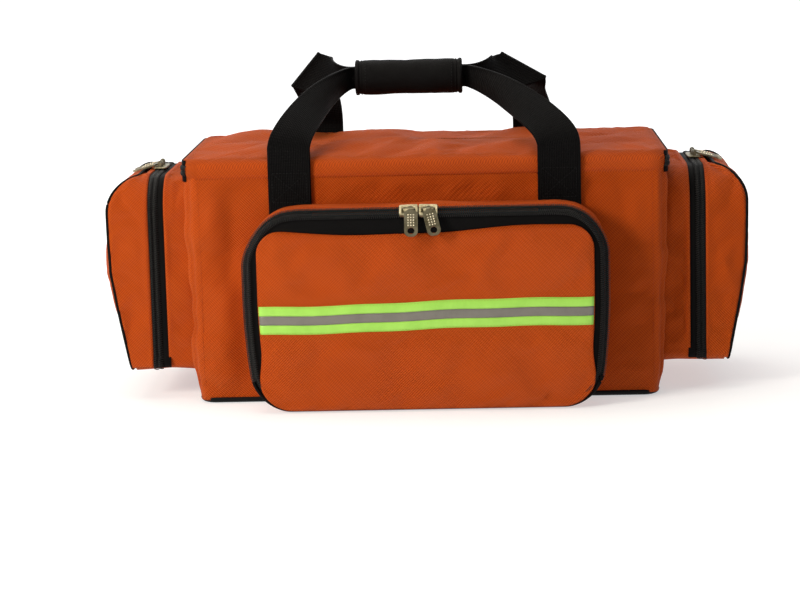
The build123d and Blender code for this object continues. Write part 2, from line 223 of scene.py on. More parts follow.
@dataclass(frozen=True)
class Metal:
    """A plated die-cast metal with random blotches of tarnish and fine scratches."""

    name: str
    colour: tuple[float, float, float]
    stain: tuple[float, float, float]
    rough: float = 0.3

    def build(self) -> bpy.types.Material:
        """Makes the material."""
        graph = Graph(self.name)
        place = graph.place()
        blotch = graph.noise(place, 160.0, 5.0, 0.65)
        scratch = graph.noise(place, 2400.0, 2.0, 0.7)
        return graph.shade(
            Base_Color=graph.mix(graph.spread(blotch, 0.35, 0.7, 0.0, 1.0), self.colour, self.stain),
            Metallic=1.0, Roughness=graph.spread(scratch, 0.3, 0.7, self.rough - 0.08, self.rough + 0.12),
            Normal=graph.bump(scratch, 0.12, 0.2 * MM),
        )


@dataclass(frozen=True)
class Tape:
    """Plastic-faced reflective tape with a fine lattice pressed into it."""

    name: str
    colour: tuple[float, float, float]
    shade: tuple[float, float, float]
    cell: float = 2.2
    metallic: float = 0.0
    rough: float = 0.35

    def build(self) -> bpy.types.Material:
        """Makes the material. The lattice is the product of two slanted sine waves."""
        graph = Graph(self.name)
        across, along = graph.uv()
        turn = 2 * np.pi / self.cell
        first = graph.wave(graph.math("ADD", across, along), turn)
        second = graph.wave(graph.math("SUBTRACT", across, along), turn)
        lattice = graph.math("MULTIPLY", first, second)
        dust = graph.noise(graph.place(), 60.0, 4.0, 0.6)
        tone = graph.math("MULTIPLY_ADD", lattice, 0.25, graph.spread(dust, 0.3, 0.75, 0.85, 0.3))
        return graph.shade(
            Base_Color=graph.mix(tone, self.shade, self.colour), Metallic=self.metallic,
            Roughness=graph.spread(dust, 0.3, 0.7, self.rough, self.rough + 0.2),
            Coat_Weight=0.3, Coat_Roughness=0.25, Normal=graph.bump(lattice, 0.3, 0.15 * MM),
        )


@dataclass(frozen=True)
class Thread:
    """Twisted sewing thread or moulded nylon: one tone with a faint grain."""

    name: str
    colour: tuple[float, float, float]
    rough: float = 0.45
    shine: float = 0.5

    def build(self) -> bpy.types.Material:
        """Makes the material."""
        graph = Graph(self.name)
        grain = graph.noise(graph.place(), 1800.0, 3.0, 0.6)
        dark = tuple(channel * 0.6 for channel in self.colour)
        return graph.shade(
            Base_Color=graph.mix(grain, dark, self.colour), Specular_IOR_Level=self.shine,
            Roughness=graph.spread(grain, 0.3, 0.7, self.rough, self.rough + 0.15),
            Normal=graph.bump(grain, 0.2, 0.1 * MM),
        )


class Finishes:
    """Every material, made once."""

    def __init__(self) -> None:
        """Builds the set."""
        black, deep = (0.0042, 0.0038, 0.004), (0.0014, 0.0013, 0.0015)
        dark, cord, flat = (0.0045, 0.0042, 0.0046), Weave.RIBBED, Weave.PLAIN
        self.orange = Cloth(
            "orange_twill", (0.545, 0.08, 0.004), (0.37, 0.042, 0.0015), thread=2.5, relief=0.9, rough=0.6,
            sheen=0.08, shine=0.14, crumple=0.5, glow=(1.0, 0.45, 0.16), contrast=0.75,
        ).build()
        self.binding = Cloth("black_binding", black, deep, flat, 0.8, 0.3, 0.6, 0.0, 0.06).build()
        self.tape = Cloth("zip_tape", black, deep, cord, 1.1, 0.5, 0.6, 0.0, 0.06).build()
        self.webbing = Cloth("webbing", dark, deep, cord, 1.6, 0.9, 0.5, 0.0, 0.05).build()
        self.grip = Cloth("grip_cloth", black, deep, flat, 1.2, 0.5, 0.6, 0.0, 0.07, 0.4).build()
        self.base = Cloth("base_cloth", (0.007, 0.007, 0.0075), deep, flat, 1.3, 0.5, 0.55, 0.0, 0.1).build()
        self.lining = Cloth(
            "lining", (0.075, 0.078, 0.085), (0.045, 0.047, 0.052), flat, 0.9, 0.4, 0.5, 0.1, 0.3
        ).build()
        self.lime = Tape("lime_tape", (0.35, 0.7, 0.085), (0.24, 0.54, 0.05)).build()
        self.silver = Tape("silver_tape", (0.19, 0.18, 0.155), (0.13, 0.12, 0.105), 1.6, 0.25, 0.35).build()
        self.metal = Metal("plated_metal", (0.36, 0.325, 0.22), (0.15, 0.125, 0.07), 0.36).build()
        self.stud = Metal("bright_metal", (0.95, 0.88, 0.7), (0.75, 0.66, 0.48), 0.5).build()
        self.coil = Thread("nylon_coil", (0.009, 0.009, 0.0095), 0.4, 0.3).build()
        self.orange_thread = Thread("orange_thread", (0.55, 0.07, 0.012), 0.55, 0.15).build()
        self.black_thread = Thread("black_thread", (0.009, 0.009, 0.01), 0.5, 0.15).build()
        self.lime_thread = Thread("lime_thread", (0.42, 0.6, 0.08), 0.5, 0.3).build()


# --- Shapes -----------------------------------------------------------------------------------------


def unit(vectors: np.ndarray) -> np.ndarray:
    """Scales vectors, along the last axis, to length one."""
    return vectors / np.maximum(np.linalg.norm(vectors, axis=-1, keepdims=True), 1e-12)


def squared(ways: np.ndarray, ahead: np.ndarray) -> np.ndarray:
    """Directions made square to the heading, at length one."""
    return unit(ways - ahead * np.sum(ways * ahead, axis=1, keepdims=True))


def joined(*parts: np.ndarray) -> np.ndarray:
    """Arrays that broadcast together, as coordinates on a new last axis."""
    return np.stack(np.broadcast_arrays(*parts), axis=-1)


def running(steps: np.ndarray) -> np.ndarray:
    """The running total of some steps, from zero."""
    return np.concatenate(([0.0], np.cumsum(steps)))


def rounding(across: np.ndarray, half: float, radius: float) -> np.ndarray:
    """How far a round corner falls short of a square one, at distances from the middle of its side."""
    into = np.clip(np.abs(across) - (half - radius), 0.0, radius)
    return radius - np.sqrt(radius**2 - into**2)


def smooth(value: np.ndarray, low: float, high: float) -> np.ndarray:
    """A step from 0 at low to 1 at high, with level ends: 3t^2 - 2t^3."""
    t = np.clip((value - low) / (high - low), 0.0, 1.0)
    return t * t * (3 - 2 * t)


def crumple(points: np.ndarray, seed: int, size: float, height: float) -> np.ndarray:
    """How far worn cloth stands out at some points.

    It is a sum of twelve sine waves in seeded directions, each bent by the one before, with the
    shorter waves lower. Its mean is near zero.

    Args:
        points: places, with the last axis X, Y and Z.
        seed: picks the directions and phases.
        size: the usual distance between folds.
        height: the usual height of a fold.

    Returns:
        The height at each place.
    """
    random = np.random.default_rng(seed)
    total = np.zeros(points.shape[:-1])
    bend = np.zeros(points.shape[:-1])
    for index in range(12):
        direction = unit(random.normal(size=3))
        length = size * random.uniform(0.5, 2.0)
        wave = np.sin(points @ direction * (2 * np.pi / length) + random.uniform(0, 2 * np.pi) + 0.9 * bend)
        total += wave * length / size
        bend = wave
    return total * height / 4.5


def resample(path: np.ndarray, step: float, *others: np.ndarray, curl: float = 0.0) -> list[np.ndarray]:
    """Points a nearly even distance apart along a line, by interpolation over its length.

    Args:
        path: the line's points.
        step: the distance.
        others: values at the same points, such as directions, to interpolate along with it.
        curl: how much closer points lie where the first of the others changes.

    Returns:
        The new points, then the new values.
    """
    travel = np.linalg.norm(np.diff(path, axis=0), axis=1)
    if curl:
        travel = travel + curl * np.linalg.norm(np.diff(others[0], axis=0), axis=1)
    travel = running(travel)
    even = np.linspace(0.0, travel[-1], max(2, int(round(travel[-1] / step)) + 1))
    return [
        np.stack([np.interp(even, travel, values[:, axis]) for axis in range(values.shape[1])], axis=1)
        for values in (path, *others)
    ]


def lengths(path: np.ndarray) -> np.ndarray:
    """The distance travelled at each point of a line."""
    return running(np.linalg.norm(np.diff(path, axis=0), axis=1))


def heading(path: np.ndarray) -> np.ndarray:
    """The direction of travel at each point of a line."""
    return unit(np.gradient(path, axis=0))


def spacing(points: np.ndarray) -> np.ndarray:
    """A grid's own flat coordinates, from the mean distances along it and down it."""
    down = np.linalg.norm(np.diff(points, axis=0), axis=-1).mean(axis=1)
    right = np.linalg.norm(np.diff(points, axis=1), axis=-1).mean(axis=0)
    return joined(running(right)[None, :], running(down)[:, None])


def numbered(rows: int, columns: int, start: int = 0) -> np.ndarray:
    """The vertex numbers of a grid."""
    return np.arange(rows * columns).reshape(rows, columns) + start


def looped(index: np.ndarray, loop: bool = True) -> np.ndarray:
    """A grid of vertex numbers whose first column follows its last, if it is a loop."""
    return np.concatenate((index, index[:, :1]), axis=1) if loop else index


def quads_of(index: np.ndarray) -> np.ndarray:
    """The four-cornered faces between the neighbours of a grid of vertex numbers."""
    return np.stack((index[:-1, :-1], index[:-1, 1:], index[1:, 1:], index[1:, :-1]), axis=-1).reshape(-1, 4)


def rim_of(index: np.ndarray, loop: bool) -> list[np.ndarray]:
    """The vertex numbers along a grid's open edges, each as one closed run."""
    if loop:
        return [np.append(index[0], index[0, 0]), np.append(index[-1], index[-1, 0])]
    around = (index[0, :-1], index[:-1, -1], index[-1, :0:-1], index[:0:-1, 0], index[0, :1])
    return [np.concatenate(around)]


class Maker:
    """Turns arrays into the bag's pieces."""

    def __init__(self) -> None:
        """Starts with no pieces."""
        self.pieces: list[bpy.types.Object] = []

    def mesh(
        self, name: str, vertices: np.ndarray, faces: np.ndarray, finish: bpy.types.Material,
        uv: np.ndarray | None = None,
    ) -> bpy.types.Object:
        """Makes an object from arrays.

        Args:
            name: the piece's name.
            vertices: places, one a row.
            faces: corner indices, four a row.
            finish: the material.
            uv: flat coordinates, one a vertex.

        Returns:
            The object.
        """
        data = bpy.data.meshes.new(name)
        data.from_pydata((vertices * MM).tolist(), [], faces.tolist())
        if uv is not None:
            corners = uv[faces].astype(float)
            span = np.ptp(corners[..., 0], axis=1)
            whole = np.ptp(uv[:, 0])
            closing = span > 0.6 * whole
            if closing.any() and not closing.all():
                # The faces that close a loop go on past its end rather than back over its whole length.
                low = closing[:, None] & (corners[..., 0] < uv[:, 0].min() + 0.3 * whole)
                corners[..., 0] += low * (whole + np.median(span[~closing]))
            data.uv_layers.new(name="flat").data.foreach_set("uv", corners.astype(np.float32).ravel())
        data.materials.append(finish)
        data.validate()
        data.polygons.foreach_set("use_smooth", np.ones(len(data.polygons), dtype=bool))
        made = bpy.data.objects.new(name, data)
        bpy.context.scene.collection.objects.link(made)
        self.pieces.append(made)
        log.info("%s: %d faces", name, len(data.polygons))
        return made

    @staticmethod
    def close(made: bpy.types.Object, weld: bool, cap: bool) -> bpy.types.Object:
        """Turns every face outwards, after merging vertices that coincide or filling the open ends.

        Args:
            made: the object.
            weld: merge vertices that coincide.
            cap: close each open edge with a face.

        Returns:
            The object.
        """
        work = bmesh.new()
        work.from_mesh(made.data)
        if weld:
            bmesh.ops.remove_doubles(work, verts=work.verts, dist=2e-6)
        if cap:
            bmesh.ops.holes_fill(work, edges=[edge for edge in work.edges if edge.is_boundary])
        bmesh.ops.recalc_face_normals(work, faces=work.faces)
        for face in work.faces:
            face.smooth = True
        work.to_mesh(made.data)
        work.free()
        return made

    def grid(
        self, name: str, points: np.ndarray, finish: bpy.types.Material, uv: np.ndarray, cap: bool = False,
        weld: bool = False, wrap: bool = False,
    ) -> bpy.types.Object:
        """Makes a closed surface from a grid of points whose last column meets its first.

        Args:
            name: the piece's name.
            points: rows by columns by 3.
            finish: the material.
            uv: rows by columns by 2.
            cap: close the first and last rows with a face each.
            weld: merge vertices that coincide.
            wrap: join the last row to the first.

        Returns:
            The object.
        """
        index = looped(numbered(*points.shape[:2]))
        if wrap:
            index = np.concatenate((index, index[:1]), axis=0)
        made = self.mesh(name, points.reshape(-1, 3), quads_of(index), finish, uv.reshape(-1, 2))
        return self.close(made, weld, cap)

    def layers(
        self, name: str, pairs: Sequence[tuple[np.ndarray, np.ndarray]], finish: bpy.types.Material,
        lining: bpy.types.Material | None = None, uv: np.ndarray | None = None, loop: bool = False,
        cap: bool = False,
    ) -> bpy.types.Object:
        """Makes closed pieces, each from an outer and an inner grid that are joined along their edges.

        Args:
            name: the piece's name.
            pairs: outer and inner grids of the same shape.
            finish: the outer side's material.
            lining: the inner side's material, if it differs.
            uv: flat coordinates for each grid; worked out from the spacing if left out.
            loop: the last column meets the first.
            cap: the last row is filled on each side, and not joined to the other side.

        Returns:
            The object.
        """
        vertices, faces, inner_faces, flats = [], [], [], []
        start = 0
        for outer, inner in pairs:
            index = numbered(*outer.shape[:2], start)
            under = index + index.size
            faces.append(quads_of(looped(index, loop)))
            inner_faces.append(quads_of(looped(under, loop))[:, ::-1])
            rims = list(zip(rim_of(index, loop), rim_of(under, loop)))
            for top, bottom in rims[:1] if cap else rims:
                faces.append(np.stack((top[:-1], bottom[:-1], bottom[1:], top[1:]), axis=1))
            flat = (spacing(outer) if uv is None else uv).reshape(-1, 2)
            flats.extend((flat, flat))
            vertices.extend((outer.reshape(-1, 3), inner.reshape(-1, 3)))
            start += 2 * index.size
        outside = np.concatenate(faces)
        every = np.concatenate((outside, *inner_faces))
        made = self.mesh(name, np.concatenate(vertices), every, finish, np.concatenate(flats))
        if lining is not None:
            made.data.materials.append(lining)
            slots = np.zeros(len(made.data.polygons), dtype=np.int32)
            slots[len(outside):] = 1
            made.data.polygons.foreach_set("material_index", slots)
        return self.close(made, False, cap)

    def sweep(
        self, name: str, path: np.ndarray, across: np.ndarray, profile: np.ndarray,
        finish: bpy.types.Material, closed: bool = False,
    ) -> bpy.types.Object:
        """Carries a closed profile along a path.

        Each section is the profile's first number along `across` plus its second along the section's
        own upright, the cross product of heading and across.

        Args:
            name: the piece's name.
            path: points of the path.
            across: the width's direction at each point.
            profile: outline points, two numbers a row, about the path.
            finish: the material.
            closed: join the last section to the first.

        Returns:
            The object.
        """
        ahead = heading(path)
        if closed:
            ahead = unit(np.roll(path, -1, axis=0) - np.roll(path, 1, axis=0))
        across = squared(across, ahead)[:, None]
        up = np.cross(ahead, across[:, 0])[:, None]
        points = path[:, None] + across * profile[None, :, :1] + up * profile[None, :, 1:]
        girth = lengths(np.concatenate((profile, profile[:1])))[:-1]
        uv = joined(girth[None, :], lengths(path)[:, None])
        if closed:
            points = np.concatenate((points, points[:1]))
            uv = np.concatenate((uv, uv[-1:] + 1.0))
        return self.grid(name, points, finish, uv, cap=not closed, weld=closed)

    def rod(
        self, name: str, path: np.ndarray, radius: float, finish: bpy.types.Material, sides: int = 10,
        closed: bool = False,
    ) -> bpy.types.Object:
        """A round cord along a path."""
        angle = np.arange(sides) * (2 * np.pi / sides)
        profile = radius * np.stack((np.cos(angle), np.sin(angle)), axis=1)
        ahead = heading(path)
        side = np.where(np.abs(ahead[:, 2:]) > 0.9, np.array([[1.0, 0.0, 0.0]]), np.array([[0.0, 0.0, 1.0]]))
        return self.sweep(name, path, np.cross(ahead, side) + 1e-9, profile, finish, closed=closed)

    def repeat(
        self, name: str, places: np.ndarray, ahead: np.ndarray, up: np.ndarray, unit_points: np.ndarray,
        unit_faces: np.ndarray, finish: bpy.types.Material,
    ) -> bpy.types.Object:
        """Copies one small shape to many places, turned by its own ahead, side and up directions."""
        points = places[:, None, :]
        for axis, way in enumerate((ahead, np.cross(up, ahead), up)):
            points = points + unit_points[None, :, axis, None] * way[:, None, :]
        shift = np.arange(len(places))[:, None, None] * len(unit_points)
        faces = (unit_faces[None, :, :] + shift).reshape(-1, 4)
        return self.mesh(name, points.reshape(-1, 3), faces, finish)


def sleeve(rows: int, sides: int) -> np.ndarray:
    """The faces of a tube of four-pointed or other rings, with its two ends closed if it has four."""
    index = looped(numbered(rows, sides))
    walls = quads_of(index)
    if sides != 4:
        return walls
    return np.concatenate((walls, index[:1, 3::-1], index[-1:, :4]))


def facing(points: np.ndarray, faces: np.ndarray) -> np.ndarray:
    """Turns a small closed shape's faces outwards, by the sign of its volume."""
    corners = points[faces]
    first = np.cross(corners[:, 1] - corners[:, 0], corners[:, 2] - corners[:, 0])
    second = np.cross(corners[:, 2] - corners[:, 0], corners[:, 3] - corners[:, 0])
    volume = np.sum(corners[:, 0] * (first + second))
    return faces if volume > 0 else faces[:, ::-1]


@dataclass(frozen=True)
class Stitch:
    """One stitch: a short length of thread that dips into the cloth at both ends."""

    length: float = 2.7
    thick: float = 0.55
    pitch: float = 3.5

    def shape(self) -> tuple[np.ndarray, np.ndarray]:
        """Five rings of four points along an arch: height is a half sine of the place along it."""
        along = np.array([-0.5, -0.3, 0.0, 0.3, 0.5])
        fat = np.array([0.25, 0.8, 1.0, 0.8, 0.25]) * self.thick / 2
        rise = (np.cos(along * np.pi) - 0.55) * self.thick * 0.9
        angle = np.arange(4) * (np.pi / 2)
        points = joined(
            along[:, None] * self.length,
            fat[:, None] * np.cos(angle)[None, :],
            rise[:, None] + fat[:, None] * np.sin(angle)[None, :],
        ).reshape(-1, 3)
        return points, facing(points, sleeve(5, 4))

    def sew(
        self, maker: Maker, name: str, lines: Sequence[tuple[np.ndarray, np.ndarray]],
        finish: bpy.types.Material,
    ) -> bpy.types.Object:
        """Sews along lines.

        Args:
            maker: makes the piece.
            name: the piece's name.
            lines: pairs of a line's points and its outward directions, which may be one direction.
            finish: the thread's material.

        Returns:
            All the stitches as one piece.
        """
        places, aheads, ups = [], [], []
        for path, outward in lines:
            even, out = resample(path, self.pitch, np.broadcast_to(outward, path.shape))
            ahead = unit(even[1:] - even[:-1])
            places.append((even[1:] + even[:-1]) / 2)
            aheads.append(ahead)
            ups.append(squared(unit(out[1:] + out[:-1]), ahead))
        spots = [np.concatenate(part) for part in (places, aheads, ups)]
        return maker.repeat(name, *spots, *self.shape(), finish)


@dataclass(frozen=True)
class Coil:
    """One half of a coil zip: nylon loops side by side over a cord."""

    half: float = 2.45
    phase: float = 0.0
    pitch: float = 1.75
    rise: float = 1.35
    thick: float = 0.95

    def shape(self) -> tuple[np.ndarray, np.ndarray]:
        """Seven rings of four points over half an ellipse across the coil, slanted along it."""
        turn = np.linspace(-0.05, 1.05, 7) * np.pi
        across = -np.cos(turn) * self.half
        up = np.sin(turn) * self.rise
        angle = np.arange(4) * (np.pi / 2) + np.pi / 4
        ring_out = np.cos(angle) * self.thick / 2
        points = joined(
            across[:, None] * 0.3 + np.sin(angle)[None, :] * self.thick / 2,
            across[:, None] - ring_out[None, :] * np.cos(turn)[:, None],
            up[:, None] + ring_out[None, :] * np.sin(turn)[:, None],
        ).reshape(-1, 3)
        return points, facing(points, sleeve(7, 4))

    def lay(
        self, maker: Maker, name: str, path: np.ndarray, up: np.ndarray, finish: bpy.types.Material
    ) -> bpy.types.Object:
        """Lays the loops along a path, with a direction at each point for the coil's outside.

        Args:
            maker: makes the piece.
            name: the piece's name.
            path: the coil's middle line.
            up: the outward directions.
            finish: the nylon's material.

        Returns:
            The coil as one piece.
        """
        even, out = resample(path, self.pitch, up)
        ahead = heading(even)
        places = even + ahead * self.phase * self.pitch
        return maker.repeat(name, places, ahead, squared(out, ahead), *self.shape(), finish)


class Side(Enum):
    """A flat side of the bag on which outlines are drawn, with the distance that stands out from it."""

    GROUND = "ground"
    FRONT = "front"
    LEFT = "left"
    RIGHT = "right"

    def put(self, across: np.ndarray, up: np.ndarray, out: np.ndarray) -> np.ndarray:
        """Places numbers drawn on this side in the bag's frame.

        Args:
            across: X on the ground and the front, Y on the ends.
            up: Y on the ground, and Z elsewhere.
            out: Z on the ground, and elsewhere how far the place stands out from the body.

        Returns:
            Points, with X, Y and Z on the last axis.
        """
        across, up, out = np.broadcast_arrays(across, up, out)
        if self is Side.GROUND:
            return np.stack((across, up, out), axis=-1)
        if self is Side.FRONT:
            return np.stack((across, -HALF_DEPTH - out, up), axis=-1)
        return np.stack((self.sign * (HALF_WIDTH + out), across, up), axis=-1)

    def turn(self, across: np.ndarray, up: np.ndarray, out: np.ndarray) -> np.ndarray:
        """The same for a direction."""
        return self.put(across, up, out) - self.put(0.0, 0.0, 0.0)

    @property
    def sign(self) -> float:
        """Which way the end faces along X."""
        return -1.0 if self is Side.LEFT else 1.0


@dataclass
class Outline:
    """A closed flat line with its outward directions."""

    points: np.ndarray
    normals: np.ndarray

    @classmethod
    def rounded(cls, half: float, low: float, high: float, top: float, bottom: float, step: float) -> "Outline":
        """A box with rounded corners, from the middle of its lower side towards the right and up.

        Args:
            half: half its width.
            low: its lower side.
            high: its upper side.
            top: the upper corners' radius.
            bottom: the lower corners' radius.
            step: the distance between points on its straight sides.

        Returns:
            The outline.
        """
        points, normals = [np.array([[0.0, low]])], [np.array([[0.0, -1.0]])]
        for sign, start, radius in ((1, -90, bottom), (1, 0, top), (-1, 90, top), (-1, 180, bottom)):
            angle = np.radians(np.linspace(start, start + 90, 25))
            out = np.stack((np.cos(angle), np.sin(angle)), axis=1)
            middle = np.array([sign * (half - radius), high - radius if 0 <= start <= 90 else low + radius])
            points.append(middle + radius * out)
            normals.append(out)
        points.append(points[0])
        normals.append(normals[0])
        even, out = resample(np.concatenate(points), step, np.concatenate(normals), curl=14.0)
        return cls(even[:-1], unit(out[:-1]))

    def offset(self, amount: np.ndarray | float) -> np.ndarray:
        """The line moved outwards."""
        return self.points + self.normals * np.asarray(amount)[..., None]

    def travel(self) -> np.ndarray:
        """The distance from the start at each point."""
        return lengths(self.points)

    def arch(self, low: float) -> "Outline":
        """The open part above a height, from the right side over the top to the left."""
        keep = np.flatnonzero(self.points[:, 1] > low)
        return Outline(self.points[keep], self.normals[keep])


def normals_of(grid: np.ndarray, loop: bool, out: Sequence[float] | None = None) -> np.ndarray:
    """Outward directions at a grid's points, from the cross product of its two slopes.

    Args:
        grid: rows by columns by 3.
        loop: the last column meets the first.
        out: a direction on the outside; away from the grid's middle if left out.

    Returns:
        The directions.
    """
    down = np.gradient(grid, axis=0)
    if loop:
        right = np.roll(grid, -1, axis=1) - np.roll(grid, 1, axis=1)
    else:
        right = np.gradient(grid, axis=1)
    found = unit(np.cross(down, right))
    guide = grid - grid.mean(axis=(0, 1)) if out is None else np.broadcast_to(out, grid.shape)
    return found if np.sum(found * guide) > 0 else -found


def settle(
    grid: np.ndarray, held: np.ndarray, loop: bool, growth: float, pressure: float, cap: float
) -> np.ndarray:
    """Lets a sheet of cloth that is a little too large settle between its held points.

    Args:
        grid: rows by columns by 3, where the sheet starts.
        held: which points are sewn down.
        loop: the last column meets the first.
        growth: how much larger the cloth is than its frame, as a share.
        pressure: how hard the filling pushes it outwards.
        cap: how far a point may move.

    Returns:
        The grid after settling.
    """
    rows, columns = grid.shape[:2]
    quads = quads_of(looped(numbered(rows, columns), loop))
    outward = normals_of(grid, loop)
    corners = grid.reshape(-1, 3)[quads]
    face = np.cross(corners[:, 2] - corners[:, 0], corners[:, 3] - corners[:, 1])
    if np.sum(face * outward.reshape(-1, 3)[quads[:, 0]]) < 0:
        quads = quads[:, ::-1]
    data = bpy.data.meshes.new("settling")
    data.from_pydata((grid.reshape(-1, 3) * MM).tolist(), [], quads.tolist())
    work = bpy.data.objects.new("settling", data)
    scene = bpy.context.scene
    scene.collection.objects.link(work)
    sewn = work.vertex_groups.new(name="held")
    sewn.add(np.flatnonzero(held.ravel()).tolist(), 1.0, "ADD")
    cloth = work.modifiers.new("settling", "CLOTH")
    own = {"vertex_group_mass": "held", "shrink_min": -growth, "uniform_pressure_force": pressure}
    for setting, value in {**CLOTH_SETTINGS, **own}.items():
        setattr(cloth.settings, setting, value)
    cloth.settings.effector_weights.gravity = 0
    cloth.collision_settings.use_collision = False
    cloth.collision_settings.use_self_collision = False
    cloth.point_cache.frame_start = 1
    cloth.point_cache.frame_end = SETTLING_FRAMES
    for frame_number in range(1, SETTLING_FRAMES + 1):
        scene.frame_set(frame_number)
    result = work.evaluated_get(bpy.context.evaluated_depsgraph_get())
    flat = np.empty(rows * columns * 3, dtype=np.float32)
    result.data.vertices.foreach_get("co", flat)
    scene.frame_set(1)
    bpy.data.objects.remove(work)
    bpy.data.meshes.remove(data)
    move = flat.reshape(grid.shape).astype(float) / MM - grid
    size = np.linalg.norm(move, axis=-1, keepdims=True)
    log.info("settled %d points by up to %.1f mm", rows * columns, float(size.max()))
    return grid + move * (np.minimum(size, cap) / np.maximum(size, 1e-9))


def apart(across: np.ndarray, up: np.ndarray, half: float, low: float, high: float, margin: float) -> np.ndarray:
    """0 inside a box on a flat side, rising to 1 at a distance from it.

    Args:
        across: distances from the box's middle line.
        up: the other coordinate.
        half: half the box's width.
        low: its lower side.
        high: its upper side.
        margin: the distance at which the result is 1.

    Returns:
        The share, with level ends.
    """
    beside = np.maximum(np.abs(across) - half, 0.0)
    beyond = np.maximum(np.maximum(low - up, up - high), 0.0)
    return smooth(np.hypot(beside, beyond), 0.0, margin)


def bell(value: np.ndarray, width: float) -> np.ndarray:
    """A bell curve that is 1 at zero: exp(-(v/width)^2)."""
    return np.exp(-((value / width) ** 2))


@dataclass
class ZipHalf:
    """The tape and coil of one side of a zip, along a line."""

    maker: Maker
    finishes: Finishes
    body: str
    coil: Coil = Coil()
    tape_thickness: float = 0.9
    overlap: float = 0.6

    def build(
        self, name: str, node: str, path: np.ndarray, across: np.ndarray, out: np.ndarray, width: float,
        coil_out: np.ndarray | None = None,
    ) -> None:
        """Builds the tape, the coil and the cord in it.

        Args:
            name: the start of the pieces' names.
            node: the modelled part that the tape stands for.
            path: the middle line of the coil.
            across: directions from the coil to the tape's far edge.
            out: directions out of the tape's face.
            width: from the coil's middle to the tape's far edge.
            coil_out: directions out of the coil, if they differ from the tape's.
        """
        coil_out = out if coil_out is None else coil_out
        middle = path + across * (width / 2 - self.overlap) - out * 0.5
        half, thick = width / 2 + self.overlap, self.tape_thickness / 2
        profile = np.array([
            (-half, -thick * 0.5), (-half * 0.97, -thick), (half * 0.97, -thick), (half, -thick * 0.5),
            (half, thick * 0.5), (half * 0.97, thick), (0.0, thick), (-half * 0.97, thick), (-half, thick * 0.5),
        ])
        even, sides = resample(middle, 4.0, across)
        tape = self.maker.sweep(f"{name}_tape", even, sides, profile, self.finishes.tape)
        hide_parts(node)
        loops = self.coil.lay(self.maker, f"{name}_coil", path, coil_out, self.finishes.coil)
        even, lifted = resample(path, 4.0, coil_out)
        cord = self.maker.rod(f"{name}_cord", even + lifted * 0.15, 1.0, self.finishes.tape, sides=8)
        for piece in (tape, loops, cord):
            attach(piece, self.body)


